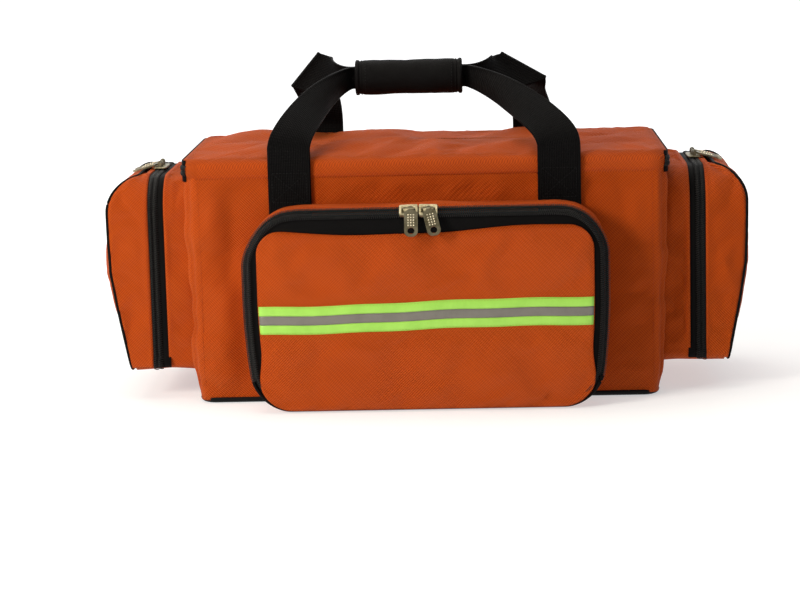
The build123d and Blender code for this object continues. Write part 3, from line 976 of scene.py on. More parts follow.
@dataclass
class Body:
    """The padded box: outer cloth, lining, base, board, dividers and the lower half of the lid's zip."""

    maker: Maker
    finishes: Finishes
    wall_low: float = 3.0
    wall_top: float = 214.2
    front_top: float = 221.0
    taper: float = 6.0
    tuck: float = 3.0
    cloth: float = 1.5
    foam: float = 4.4
    coil_height: float = 218.4

    def outline(self, inset: float = 0.0, step: float = 4.6) -> Outline:
        """The box seen from above, from the middle of the front towards the right."""
        return Outline.rounded(
            HALF_WIDTH - inset, inset - HALF_DEPTH, HALF_DEPTH - inset, CORNER - inset * 0.8,
            CORNER - inset * 0.8, step,
        )

    def seam_distance(self, line: Outline) -> np.ndarray:
        """The distance along the outline from the nearest of its four corner seams, with its sign."""
        travel = line.travel()
        total = travel[-1] + np.linalg.norm(line.points[0] - line.points[-1])
        best = np.full(len(travel), total)
        for right, back in ((1, -1), (1, 1), (-1, 1), (-1, -1)):
            seam = travel[np.argmax(line.normals @ np.array([right, back]))]
            away = (travel - seam + total / 2) % total - total / 2
            best = np.where(np.abs(away) < np.abs(best), away, best)
        return best

    def free(self, points: np.ndarray) -> np.ndarray:
        """How free the cloth is at some points: 0 where something is sewn on it, 1 well away."""
        x, y, z = np.moveaxis(points, -1, 0)
        front, back, end = y < -100, y > 100, np.abs(x) > 215
        share = smooth(z, 6.0, 34.0) * smooth(self.wall_top - z, 1.0, 16.0)
        share = np.where(front, share * apart(x, z, 168, 0, 186, 22), share)
        share = np.where(front, share * apart(np.abs(x) - 125, z, 21, 188, 240, 8), share)
        share = np.where(back, share * apart(np.abs(x) - 106, z, 21, 8, 240, 10), share)
        share = np.where(back, share * apart(x, z, 22, 190, 240, 10), share)
        return np.where(end & ~front & ~back, share * apart(y, z, 84, 28, 212, 8), share)

    def drawn_in(self, height: np.ndarray, line: Outline) -> np.ndarray:
        """How far the wall stands inside its outline: the ends taper, and the foot is tucked in."""
        return self.taper * (1 - height / LID_TOP) * np.abs(line.normals[:, 0]) + self.tuck * (
            1 - smooth(height, 2.0, 26.0)
        )

    def wall(self) -> None:
        """The outer cloth round all four sides.

        Its plan is a rounded box. Each corner seam stands out as two ridges with a groove between them,
        the sides draw in towards the bottom, and the free cloth is crumpled.
        """
        line = self.outline()
        front = smooth(-line.points[:, 1], 97.0, 107.0)
        top = self.wall_top + (self.front_top - self.wall_top) * front
        height = self.wall_low + np.linspace(0.0, 1.0, 50)[:, None] * (top - self.wall_low)
        away = self.seam_distance(line)
        ridge = 1.5 * (bell(away - 6.5, 3.0) + bell(away + 6.5, 3.0)) - 0.9 * bell(away, 2.6)
        ridge = ridge[None, :] * smooth(height, 4.0, 24.0) * smooth(top - height, -1.0, 12.0)
        flat = Side.GROUND.put(*line.points.T, height)
        free = self.free(flat)
        folds = crumple(flat * np.array([1.0, 1.0, 0.55]), 5, 85.0, 3.0) - 0.8
        folds = folds + crumple(flat * np.array([1.0, 1.0, 1.6]), 9, 38.0, 0.8)
        offset = ridge - self.drawn_in(height, line) + folds * free * bell(away, 200)
        spread = line.points[None] + line.normals[None] * offset[..., None]
        grid = Side.GROUND.put(spread[..., 0], spread[..., 1], height)
        held = (free < 0.3) | (np.abs(away)[None, :] < 11)
        grid = settle(grid, held, True, 0.016, 0.6, 3.5)
        uv = joined(line.travel()[None, :], -height)
        inner = grid - normals_of(grid, True) * self.cloth
        wall = self.maker.layers(
            "body_wall", [(grid, inner)], self.finishes.orange, self.finishes.lining, uv, loop=True
        )
        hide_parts("front_panel", "back_panel", "left_end_panel", "right_end_panel")
        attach(wall, "root")
        threads = []
        for distance in (-11.5, -2.2, 2.2, 11.5):
            for way in SEAM_WAYS:
                near = np.flatnonzero(line.normals @ way > 0.4)
                column = near[np.argmin(np.abs(away[near] - distance))]
                out = normals_of(grid, True)[3:-2, column]
                threads.append((grid[3:-2, column] + out * 0.1, out))
        sewn = Stitch().sew(self.maker, "body_corner_stitches", threads, self.finishes.orange_thread)
        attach(sewn, "root")

    def lining(self) -> None:
        """Foam walls in their lining, sewn into upright channels, with a bound top edge.

        The channels are bell-shaped grooves every so far along the wall.
        """
        line = self.outline(7.0, 4.5)
        front = smooth(-line.points[:, 1], 95.0, 105.0)
        top = self.wall_top - 1.5 + (self.front_top - 1.0 - self.wall_top) * front
        low = 5.2
        travel = line.travel()
        channel = bell((travel + 36.0) % CHANNEL - CHANNEL / 2, 2.4)[None, :]
        rise = np.linspace(0.0, 1.0, 40)[:, None]
        inner_height = low + rise * (top - 2.0 - low)
        puff = 0.9 * np.sin(np.pi * rise) ** 0.4 - 1.7 * channel * smooth(inner_height, 8, 20)
        points = Side.GROUND.put(*line.points.T, inner_height)
        puff = puff + crumple(points, 21, 60.0, 0.5)
        turn = np.linspace(0.0, np.pi, 7)[:, None]
        half = self.foam / 2
        insets = [np.zeros((2, len(travel))), half * (1 - np.cos(turn)) + 0 * top[None, :],
                  self.foam + puff[::-1]]
        heights = [np.stack((np.full_like(top, low), top - 3.0)), top[None, :] - 2.0 + half * np.sin(turn) * 0.9,
                   inner_height[::-1]]
        inset, height = np.concatenate(insets), np.concatenate(heights)
        inset = inset + np.maximum(self.drawn_in(height, line) - 3.5, 0.0)
        spread = line.points[None] - line.normals[None] * inset[..., None]
        grid = Side.GROUND.put(spread[..., 0], spread[..., 1], height)
        across = lengths(np.stack((inset.mean(axis=1), height.mean(axis=1)), axis=1))
        uv = joined(travel[None, :], across[:, None])
        walls = self.maker.grid("wall_lining", grid, self.finishes.lining, uv, wrap=True)
        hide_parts("front_pad", "back_pad", "left_end_pad", "right_end_pad")
        edge = line.points - line.normals * half
        path = Side.GROUND.put(*edge.T, top - 2.2)
        angle = np.linspace(0, 2 * np.pi, 15)[:-1]
        profile = np.stack((np.cos(angle) * (half + 0.7), np.sin(angle) * 3.2), axis=1)
        across = Side.GROUND.turn(*line.normals.T, np.zeros(len(edge)))
        bound = self.maker.sweep("lining_binding", path, across, profile, self.finishes.binding, closed=True)
        for piece in (walls, bound):
            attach(piece, "root")

    def base(self) -> None:
        """The black base, a shallow dish with a rolled rim, and the covered board that lies in it."""
        deep = HALF_DEPTH - self.tuck + 0.4
        line = Outline.rounded(HALF_WIDTH - self.taper - self.tuck + 0.4, -deep, deep, CORNER, CORNER, 6.0)
        section = np.array([
            (90.0, 0.35), (40.0, 0.15), (8.0, 0.05), (3.0, 0.2), (1.0, 1.0), (-0.3, 2.4), (-0.9, 4.0), (-0.5, 5.2),
            (0.4, 5.7), (1.6, 5.4), (2.4, 4.2), (3.2, 2.8), (8.0, 2.5), (90.0, 2.5),
        ])
        grid = self.dish(line, section)
        base = self.maker.grid("base_cloth", grid, self.finishes.base, grid[..., :2], cap=True)
        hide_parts("base_panel")
        line = Outline.rounded(HALF_WIDTH - 13.0, 13.0 - HALF_DEPTH, HALF_DEPTH - 13.0, 9.0, 9.0, 6.0)
        section = np.array([
            (90.0, 2.8), (2.0, 2.8), (0.5, 3.1), (0.0, 3.9), (0.4, 4.9), (1.6, 5.3), (10.0, 5.4), (90.0, 5.5),
        ])
        grid = self.dish(line, section)
        board = self.maker.grid("base_board_cover", grid, self.finishes.lining, grid[..., :2], cap=True)
        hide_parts("base_board")
        for piece in (base, board):
            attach(piece, "root")

    @staticmethod
    def dish(line: Outline, section: np.ndarray) -> np.ndarray:
        """A grid of rings inside an outline, each at an inset and a height.

        Up to 8 mm the rings are moved along the outline's normals. Further in they are also scaled
        towards the middle.

        Args:
            line: the outline.
            section: insets and heights.

        Returns:
            Rows by columns by 3.
        """
        size = np.abs(line.points).max(axis=0)
        rings = []
        for inset, height in section:
            near = min(inset, 8.0)
            ring = line.offset(-near) * ((size - inset) / (size - near))
            rings.append(Side.GROUND.put(*ring.T, height))
        return np.stack(rings)

    def dividers(self) -> None:
        """Two foam dividers in lining, puffed between their edges, with bound tops."""
        pairs = []
        across = np.sin(np.linspace(-1, 1, 40) * np.pi / 2)
        up = np.linspace(0.0, 1.0, 30)
        y = across[None, :] * 97.5
        z = 5.6 + up[:, None] * 149.0 - 2.0 * np.abs(across[None, :]) ** 6 * up[:, None]
        full = (1 - np.abs(across[None, :]) ** 8) * (1 - np.abs(2 * up[:, None] - 1) ** 10)
        tops = []
        for side in (-1, 1):
            wander = crumple(Side.FRONT.put(y, z, 0.0), 31 + side, 120.0, 1.2) * smooth(up[:, None], 0, 1)
            middle = side * CHANNEL + wander
            half = 1.2 + 1.9 * full ** 0.5
            left = joined(middle - half, y, z)
            right = joined(middle + half, y, z)
            pairs.append((left, right))
            tops.append(((left[-1] + right[-1]) / 2, side))
        walls = self.maker.layers("divider_walls", pairs, self.finishes.lining)
        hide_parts("dividers")
        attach(walls, "root")
        for path, side in tops:
            rod = self.maker.rod(
                f"divider_binding_{'left' if side < 0 else 'right'}", path, 2.2, self.finishes.binding
            )
            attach(rod, "root")

    def zip_half(self) -> None:
        """The lower half of the lid's zip, round both ends and the back."""
        line = self.outline(0.0, 3.0).arch(ZIP_START)
        out = Side.GROUND.turn(*line.normals.T, 0.0)
        edge = line.offset(-1.1 + 2.8 * line.normals[:, 0] ** 2)
        path = Side.GROUND.put(*edge.T, self.coil_height)
        down = np.broadcast_to(np.array([0.0, 0.0, -1.0]), path.shape)
        ZipHalf(self.maker, self.finishes, "root").build("body_zip", "body_zip_half", path, down, out, 8.0)

    def build(self) -> None:
        """Builds every piece."""
        self.wall()
        self.lining()
        self.base()
        self.dividers()
        self.zip_half()


SEAM_WAYS = np.array([(1.0, -1.0), (1.0, 1.0), (-1.0, 1.0), (-1.0, -1.0)]) / np.sqrt(2)


@dataclass
class Lid:
    """The padded lid: outer cloth that runs over the front edge, lining and the upper half of the zip."""

    maker: Maker
    finishes: Finishes
    roll: float = 9.0
    proud: float = 0.5
    hem: float = 229.4
    front_hem: float = 212.5
    crown: float = 2.6
    cloth: float = 1.5
    coil_height: float = 223.0

    def skin(self) -> None:
        """The outer cloth: a flat top whose edge rolls down, and at the front runs on to a seam.

        Going inwards, each ring is the outline moved in along its normals by r(1 - cos a), at a height
        that rises by sin a, and past the roll it is scaled towards the middle.
        """
        line = Outline.rounded(HALF_WIDTH, -HALF_DEPTH, HALF_DEPTH, CORNER, CORNER, 4.6)
        front = smooth(-line.points[:, 1], 97.0, 107.0)
        start = self.hem + 0.3 + (LID_TOP - self.roll - self.hem - 0.3) * front
        hem = self.hem + (self.front_hem - self.hem) * front
        drop = np.linspace(0.0, 1.0, 4)[:-1, None]
        turn = np.linspace(0.0, np.pi / 2, 7)[:, None]
        inward = self.roll + (HALF_DEPTH - 1.5 - self.roll) * np.linspace(0.0, 1.0, 27)[1:, None] ** 1.05
        ones = np.ones((1, len(line.points)))
        inset = np.concatenate((0 * drop * ones, self.roll * (1 - np.cos(turn)) * ones, inward * ones))
        height = np.concatenate((
            hem + drop * (start - hem),
            start + (LID_TOP - start) * np.sin(turn),
            LID_TOP + 0 * inward * ones,
        ))
        near = np.minimum(inset, self.roll) - self.proud
        near[0] += (self.proud - 0.1) * front
        near[1:] -= 0.3 * front
        near = near[..., None]
        size = np.array([HALF_WIDTH, HALF_DEPTH])
        rings = (line.points[None] - line.normals[None] * near) * (
            (size - inset[..., None]) / (size - np.minimum(inset, self.roll)[..., None])
        )
        flat = Side.GROUND.put(rings[..., 0], rings[..., 1], height)
        inner = smooth(inset, 5.0, 40.0)
        lift = self.crown * smooth(inset, 2.0, 60.0)
        folds = crumple(flat * np.array([1.0, 0.7, 1.0]), 17, 120.0, 2.2) + crumple(flat, 19, 45.0, 0.7)
        flat[..., 2] += lift + folds * inner
        hanging = smooth(-flat[..., 1], 104.0, 109.0) * smooth(LID_TOP - 4 - flat[..., 2], -6.0, 6.0)
        ripple = crumple(flat * np.array([1.0, 0.0, 0.3]), 23, 60.0, 0.9)
        flat[..., 1] -= ripple * hanging * smooth(height - hem, 0.0, 8.0)
        held = inset < 4.0
        grid = settle(flat, held, True, 0.012, 0.5, 4.0)
        grid = grid + (flat - grid) * smooth(inset, HALF_DEPTH - 40.0, HALF_DEPTH - 12.0)[..., None]
        beyond = np.concatenate((hem + drop * (start - hem), start + 0 * turn))
        section = np.zeros_like(inset)
        rolled = np.maximum(self.roll - inset[: len(beyond)], 0.0)
        section[: len(beyond)] = np.maximum(start - beyond, 0.0) + rolled
        uv = rings + line.normals[None] * section[..., None]
        inside = grid - normals_of(grid, True) * self.cloth
        skin = self.maker.layers(
            "lid_skin", [(grid, inside)], self.finishes.orange, self.finishes.lining, uv, loop=True, cap=True
        )
        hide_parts("lid_cover")
        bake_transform(skin)
        columns = np.flatnonzero(front > 0.99)
        columns = np.concatenate((columns[columns > len(front) // 2], columns[columns <= len(front) // 2]))
        out = normals_of(grid, True)[:, columns]
        lines = [
            (grid[1, columns] + out[1] * 0.1, out[1]),
            (grid[0, columns] * 0.55 + grid[1, columns] * 0.45 + out[1] * 0.1, out[1]),
        ]
        for index, (path, ups) in enumerate(lines):
            name = f"front_seam_stitches_{index}"
            sewn = Stitch().sew(self.maker, name, [(path, ups)], self.finishes.orange_thread)
            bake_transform(sewn)

    def lining(self) -> None:
        """The foam under the lid: a flat pillow with sewn channels."""
        line = Outline.rounded(217.5, -101.0, 99.5, 11.0, 11.0, 5.0)
        insets = np.concatenate(([0.0, 0.4, 1.4, 3.0], np.linspace(6.0, 97.0, 24)))
        size = np.array([217.5, 100.2])
        rings = np.stack([line.offset(-min(i, 8.0)) * ((size - i) / (size - min(i, 8.0))) for i in insets])
        rim = np.sqrt(1 - (1 - np.clip(insets / 3.0, 0, 1)) ** 2)[:, None]
        channel = bell((rings[..., 0] + 3 * CHANNEL) % CHANNEL - CHANNEL / 2, 2.6)
        puff = 1.0 * smooth(insets, 2.0, 30.0)[:, None] - 1.5 * channel * smooth(insets, 4.0, 12.0)[:, None]
        under = Side.GROUND.put(rings[..., 0], rings[..., 1], 227.0 - 2.2 * rim - puff)
        over = Side.GROUND.put(rings[..., 0], rings[..., 1], 227.0 + 2.2 * rim)
        pad = self.maker.layers("lid_lining", [(under, over)], self.finishes.lining, uv=rings, loop=True, cap=True)
        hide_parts("lid_pad")
        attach(pad, "lid")
        path = Side.GROUND.put(*line.points.T, 227.0)
        edge = self.maker.rod("lid_lining_binding", path, 2.6, self.finishes.binding, closed=True)
        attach(edge, "lid")

    def zip_half(self) -> None:
        """The upper half of the zip."""
        line = Outline.rounded(HALF_WIDTH, -HALF_DEPTH, HALF_DEPTH, CORNER, CORNER, 3.0).arch(ZIP_START)
        out = Side.GROUND.turn(*line.normals.T, 0.0)
        edge = line.offset(-1.1 + 2.8 * line.normals[:, 0] ** 2)
        path = Side.GROUND.put(*edge.T, self.coil_height)
        up = np.broadcast_to(np.array([0.0, 0.0, 1.0]), path.shape)
        ZipHalf(self.maker, self.finishes, "lid", Coil(phase=0.5)).build(
            "lid_zip", "lid_zip_half", path, up, out, 7.6
        )

    def build(self) -> None:
        """Builds every piece."""
        self.skin()
        self.lining()
        self.zip_half()


@dataclass
class FrontPocket:
    """The pocket on the front: its gusset, zip, padded flap, piping and reflective strip."""

    maker: Maker
    finishes: Finishes
    half: float = 168.0
    low: float = 1.0
    high: float = 188.0
    top_radius: float = 40.0
    bottom_radius: float = 34.0
    depth: float = 33.6  # from the front panel to the gusset's front edge
    foot_depth: float = 45.2
    foot_height: float = 27.0
    face: float = 47.6
    panel_half: float = 154.5
    panel_inset: float = 17.2
    foot_half: float = 164.5
    taper: float = 0.062
    sag: float = 7.0
    strip_low: float = 73.0
    strip_high: float = 99.0
    level_half: float = 112.0
    sag_left: float = 17.0
    sag_right: float = 8.0
    strip_lift: float = 3.5
    strip_slope: float = 0.016
    silver: float = 8.5

    def outline(self, step: float = 5.0) -> Outline:
        """The pocket seen from the front."""
        return Outline.rounded(self.half, self.low, self.high, self.top_radius, self.bottom_radius, step)

    def narrow(self, x: np.ndarray, z: np.ndarray) -> np.ndarray:
        """X drawn in towards the bottom: by the square of the distance below a height."""
        return x * (1 - self.taper * np.clip((110.0 - z) / 110.0, 0.0, 1.0) ** 2)

    def sagged(self, x: np.ndarray, z: np.ndarray) -> np.ndarray:
        """Z let down at the top corners, more at the left, by the square of the distance past the zip's middle."""
        past = np.clip((np.abs(x) - self.level_half) / (self.half - self.level_half), 0.0, 1.0) ** 2
        return z - np.where(x < 0, self.sag_left, self.sag_right) * past * smooth(z, 90.0, 180.0)

    def gusset(self) -> None:
        """The cloth between the bag and the zip: a ring that bulges between its seams."""
        line = self.outline()
        height = line.points[:, 1]
        end = self.depth + (self.foot_depth - self.depth) * smooth(self.foot_height - height, 0.0, 4.0)
        share = np.linspace(0.0, 1.0, 13)[:, None]
        out = 0.6 + share * (end - 0.6)
        bulge = 1.3 * np.sin(np.pi * share) + 0.9 * bell(share - 0.93, 0.05) - 0.2
        flat = Side.FRONT.put(line.points[:, 0][None], height[None], out)
        free = np.sin(np.pi * share) * smooth(height, 8.0, 50.0)
        folds = (crumple(flat * np.array([1.0, 0.6, 1.0]), 41, 60.0, 1.7) - 0.5) * free
        spread = line.points[None] + line.normals[None] * (bulge * smooth(height, -2, 30) + folds)[..., None]
        x, z = np.moveaxis(spread, -1, 0)
        grid = Side.FRONT.put(self.narrow(x, z), self.sagged(x, z), out)
        inner = grid - Side.FRONT.turn(*line.normals.T, 0.0)[None] * 1.6
        uv = joined(line.travel()[None], out)
        ring = self.maker.layers(
            "front_gusset", [(grid, inner)], self.finishes.orange, self.finishes.lining, uv, loop=True
        )
        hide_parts("pocket_gusset")
        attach(ring, "root")
        around = float(line.travel()[-1]) + 5.0
        keep = height > 60.0
        ways = Side.FRONT.turn(*line.normals[keep].T, 0.0)
        lines = []
        for place in (2.4, self.depth - 3.4):
            row = int(np.argmin(np.abs(out[:, np.argmax(height)] - place)))
            lines.append((grid[row, keep] + ways * 0.1, ways))
        sewn = Stitch().sew(self.maker, "front_gusset_stitches", lines, self.finishes.orange_thread)
        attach(sewn, "root")

    def zips(self) -> None:
        """Both halves of the zip. The flap's tape faces forwards and the other faces outwards."""
        slant = 1 / np.sqrt(2)
        whole = self.outline(3.0)
        line = whole.arch(self.foot_height - 2)
        out = Side.FRONT.turn(*line.normals.T, 0.0)
        slanted = Side.FRONT.turn(line.normals[:, 0] * slant, line.normals[:, 1] * slant, slant)
        edge = line.offset(-1.5)
        path = Side.FRONT.put(self.narrow(*edge.T), self.sagged(*edge.T), 41.9)
        back = np.broadcast_to(np.array([0.0, 1.0, 0.0]), path.shape)
        ZipHalf(self.maker, self.finishes, "root", Coil(half=3.1)).build(
            "front_zip_body", "pocket_zip_body_half", path, back, out, 11.0, slanted
        )
        line = whole.arch(9.0)
        slanted = Side.FRONT.turn(line.normals[:, 0] * slant, line.normals[:, 1] * slant, slant)
        edge = line.offset(-5.6)
        path = Side.FRONT.put(self.narrow(*edge.T), self.sagged(*edge.T), 46.0)
        inward = Side.FRONT.turn(-line.normals[:, 0], -line.normals[:, 1], 0.0)
        forward = np.broadcast_to(np.array([0.0, -1.0, 0.0]), path.shape)
        ZipHalf(self.maker, self.finishes, "pocket_flap", Coil(half=3.1, phase=0.5)).build(
            "front_zip_flap", "pocket_zip_flap_half", path, inward, forward, 22.0, slanted
        )

    def drop(self, x: np.ndarray) -> np.ndarray:
        """How far the panel's top edge sags: one wide bell and a shallow wave."""
        return self.sag * bell(x + 38.0, 78.0) + 1.2 * np.sin(x / 21.0) * bell(x, 120.0)

    def front_of(self, x: np.ndarray, z: np.ndarray) -> np.ndarray:
        """How far the padded panel stands out at a place, before it settles.

        It crowns towards its middle and rolls over at its edges, and the sewn strip draws it in.
        """
        wide = self.width_at(z)
        top = self.high - self.panel_inset - self.drop(x)
        edge = np.minimum(np.minimum(wide - np.abs(x), top - z), z - self.low)
        roll = np.sqrt(1 - (1 - np.clip(edge / 7.0, 0, 1)) ** 2)
        crown = 1.6 * (1 - (x / wide) ** 2) * np.sin(np.pi * np.clip((z - 8) / 165, 0, 1))
        low = z - self.strip_shift(x) - self.strip_low
        seams = bell(low + 1.0, 3.0) + bell(low - (self.strip_high - self.strip_low) - 1.0, 3.0)
        return self.face - 0.6 + 2.2 * roll + crown - 0.7 * seams

    def strip_shift(self, x: np.ndarray) -> np.ndarray:
        """How far the strip is sewn above its level line: a slope and two shallow waves."""
        return self.strip_lift + self.strip_slope * x + 0.8 * np.sin(x / 41.0 + 0.6) + 0.35 * np.sin(x / 13.0)

    def width_at(self, z: np.ndarray) -> np.ndarray:
        """Half the panel's width at a height: it widens towards the bottom as the zip's tape narrows."""
        return self.narrow(self.foot_half + (self.panel_half - self.foot_half) * smooth(z, 4.0, 62.0), z)

    def flap(self) -> None:
        """The padded front panel, between a curved lower edge and a sagging upper one."""
        across = np.sin(np.linspace(-1, 1, 92) * np.pi / 2)[None, :]
        up = np.linspace(0.0, 1.0, 50)[:, None]
        x = across * self.panel_half
        foot_x = np.abs(across) * self.foot_half
        low = self.low + 0.9 + rounding(foot_x, self.foot_half, self.bottom_radius - 0.8)
        high = self.high - self.panel_inset - self.drop(x)
        high = high - rounding(x, self.panel_half, self.top_radius - self.panel_inset)
        z = low + up * (high - low)
        x = across * self.width_at(z)
        out = self.front_of(x, z)
        flat = Side.FRONT.put(x, z, out)
        share = np.minimum(smooth(1 - np.abs(across), 0.0, 0.12), smooth(up * (1 - up), 0.0, 0.06))
        level = z - self.strip_shift(x)
        share = share * apart(x, level, 400, self.strip_low - 4.0, self.strip_high + 4.0, 14.0)
        folds = crumple(flat * np.array([0.5, 1.0, 1.3]), 51, 50.0, 1.8) + crumple(flat, 53, 24.0, 0.25)
        flat[..., 1] -= folds * share
        grid = settle(flat, share < 0.12, False, 0.015, 1.5, 3.5)
        least = self.face - 0.6 + 0.9 * smooth(share, 0.0, 0.3)
        grid[..., 1] = np.minimum(grid[..., 1], -HALF_DEPTH - least)
        back = flat.copy()
        back[..., 1] = -HALF_DEPTH - self.face + 3.4
        uv = joined(x, z)
        panel = self.maker.layers(
            "front_flap", [(grid, back)], self.finishes.orange, self.finishes.lining, uv
        )
        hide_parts("pocket_front_panel", "pocket_front_pad")
        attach(panel, "pocket_flap")
        ups = np.array([0.0, -1.0, 0.0])
        seams = (grid[4:-4, 3], grid[4:-4, -4], grid[-2, 3:-3])
        lines = [(seam + 0.1 * ups, ups) for seam in seams]
        sewn = Stitch().sew(self.maker, "front_flap_stitches", lines, self.finishes.orange_thread)
        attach(sewn, "pocket_flap")

    def strip(self) -> None:
        """The reflective strip: two lime bands with a silver one between them, sewn along both edges."""
        middle = (self.strip_low + self.strip_high) / 2
        bands = (
            ("reflective_lime_low", self.strip_low, middle - self.silver / 2, self.finishes.lime, "reflective_lime"),
            ("reflective_silver", middle - self.silver / 2, middle + self.silver / 2, self.finishes.silver,
             "reflective_silver"),
            ("reflective_lime_high", middle + self.silver / 2, self.strip_high, self.finishes.lime,
             "reflective_lime"),
        )
        across = np.linspace(-1.0, 1.0, 120)[None, :]
        for node, low, high, finish, slot in bands:
            up = np.linspace(low, high, 6)[:, None]
            x, z, out = self.strip_place(across, up)
            proud = 0.55 if finish is self.finishes.lime else 0.62
            front = Side.FRONT.put(x, z, out + proud)
            back = Side.FRONT.put(x, z, out - 0.5)
            uv = joined(x, z)
            piece = self.maker.layers(f"strip_{node[11:]}", [(front, back)], finish, uv=uv)
            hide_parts(node)
            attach(piece, "pocket_flap")
        lines = []
        for height in (self.strip_low + 1.3, self.strip_high - 1.3):
            x, z, out = self.strip_place(across[0], np.full(across.shape[1], height))
            lines.append((Side.FRONT.put(x, z, out + 0.62), np.array([0.0, -1.0, 0.0])))
        sewn = Stitch(2.2, 0.45, 2.9).sew(self.maker, "strip_stitches", lines, self.finishes.lime_thread)
        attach(sewn, "pocket_flap")

    def strip_place(self, across: np.ndarray, up: np.ndarray) -> tuple[np.ndarray, np.ndarray, np.ndarray]:
        """X, Z and the distance out of a place on the strip, which wavers a little up and down."""
        x = across * (self.width_at(up) - 0.6)
        z = up + self.strip_shift(x)
        return x, z, self.front_of(x, z) + 0.25 * np.sin(x / 17.0) * np.sin(x / 57.0)

    def piping(self) -> None:
        """The black cord sewn along the pocket's bottom edge."""
        whole = self.outline(3.0)
        low = np.flatnonzero(whole.points[:, 1] < 30.0)
        low = np.concatenate((low[low > len(whole.points) // 2], low[low <= len(whole.points) // 2]))
        edge = whole.offset(-1.2)[low]
        path = Side.FRONT.put(
            self.narrow(*edge.T), edge[:, 1] + 0.6, np.full(len(low), self.face - 1.4)
        )
        cord = self.maker.rod("front_piping", path, 1.7, self.finishes.binding)
        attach(cord, "pocket_flap")

    def build(self) -> None:
        """Builds every piece."""
        self.gusset()
        self.zips()
        self.flap()
        self.strip()
        self.piping()


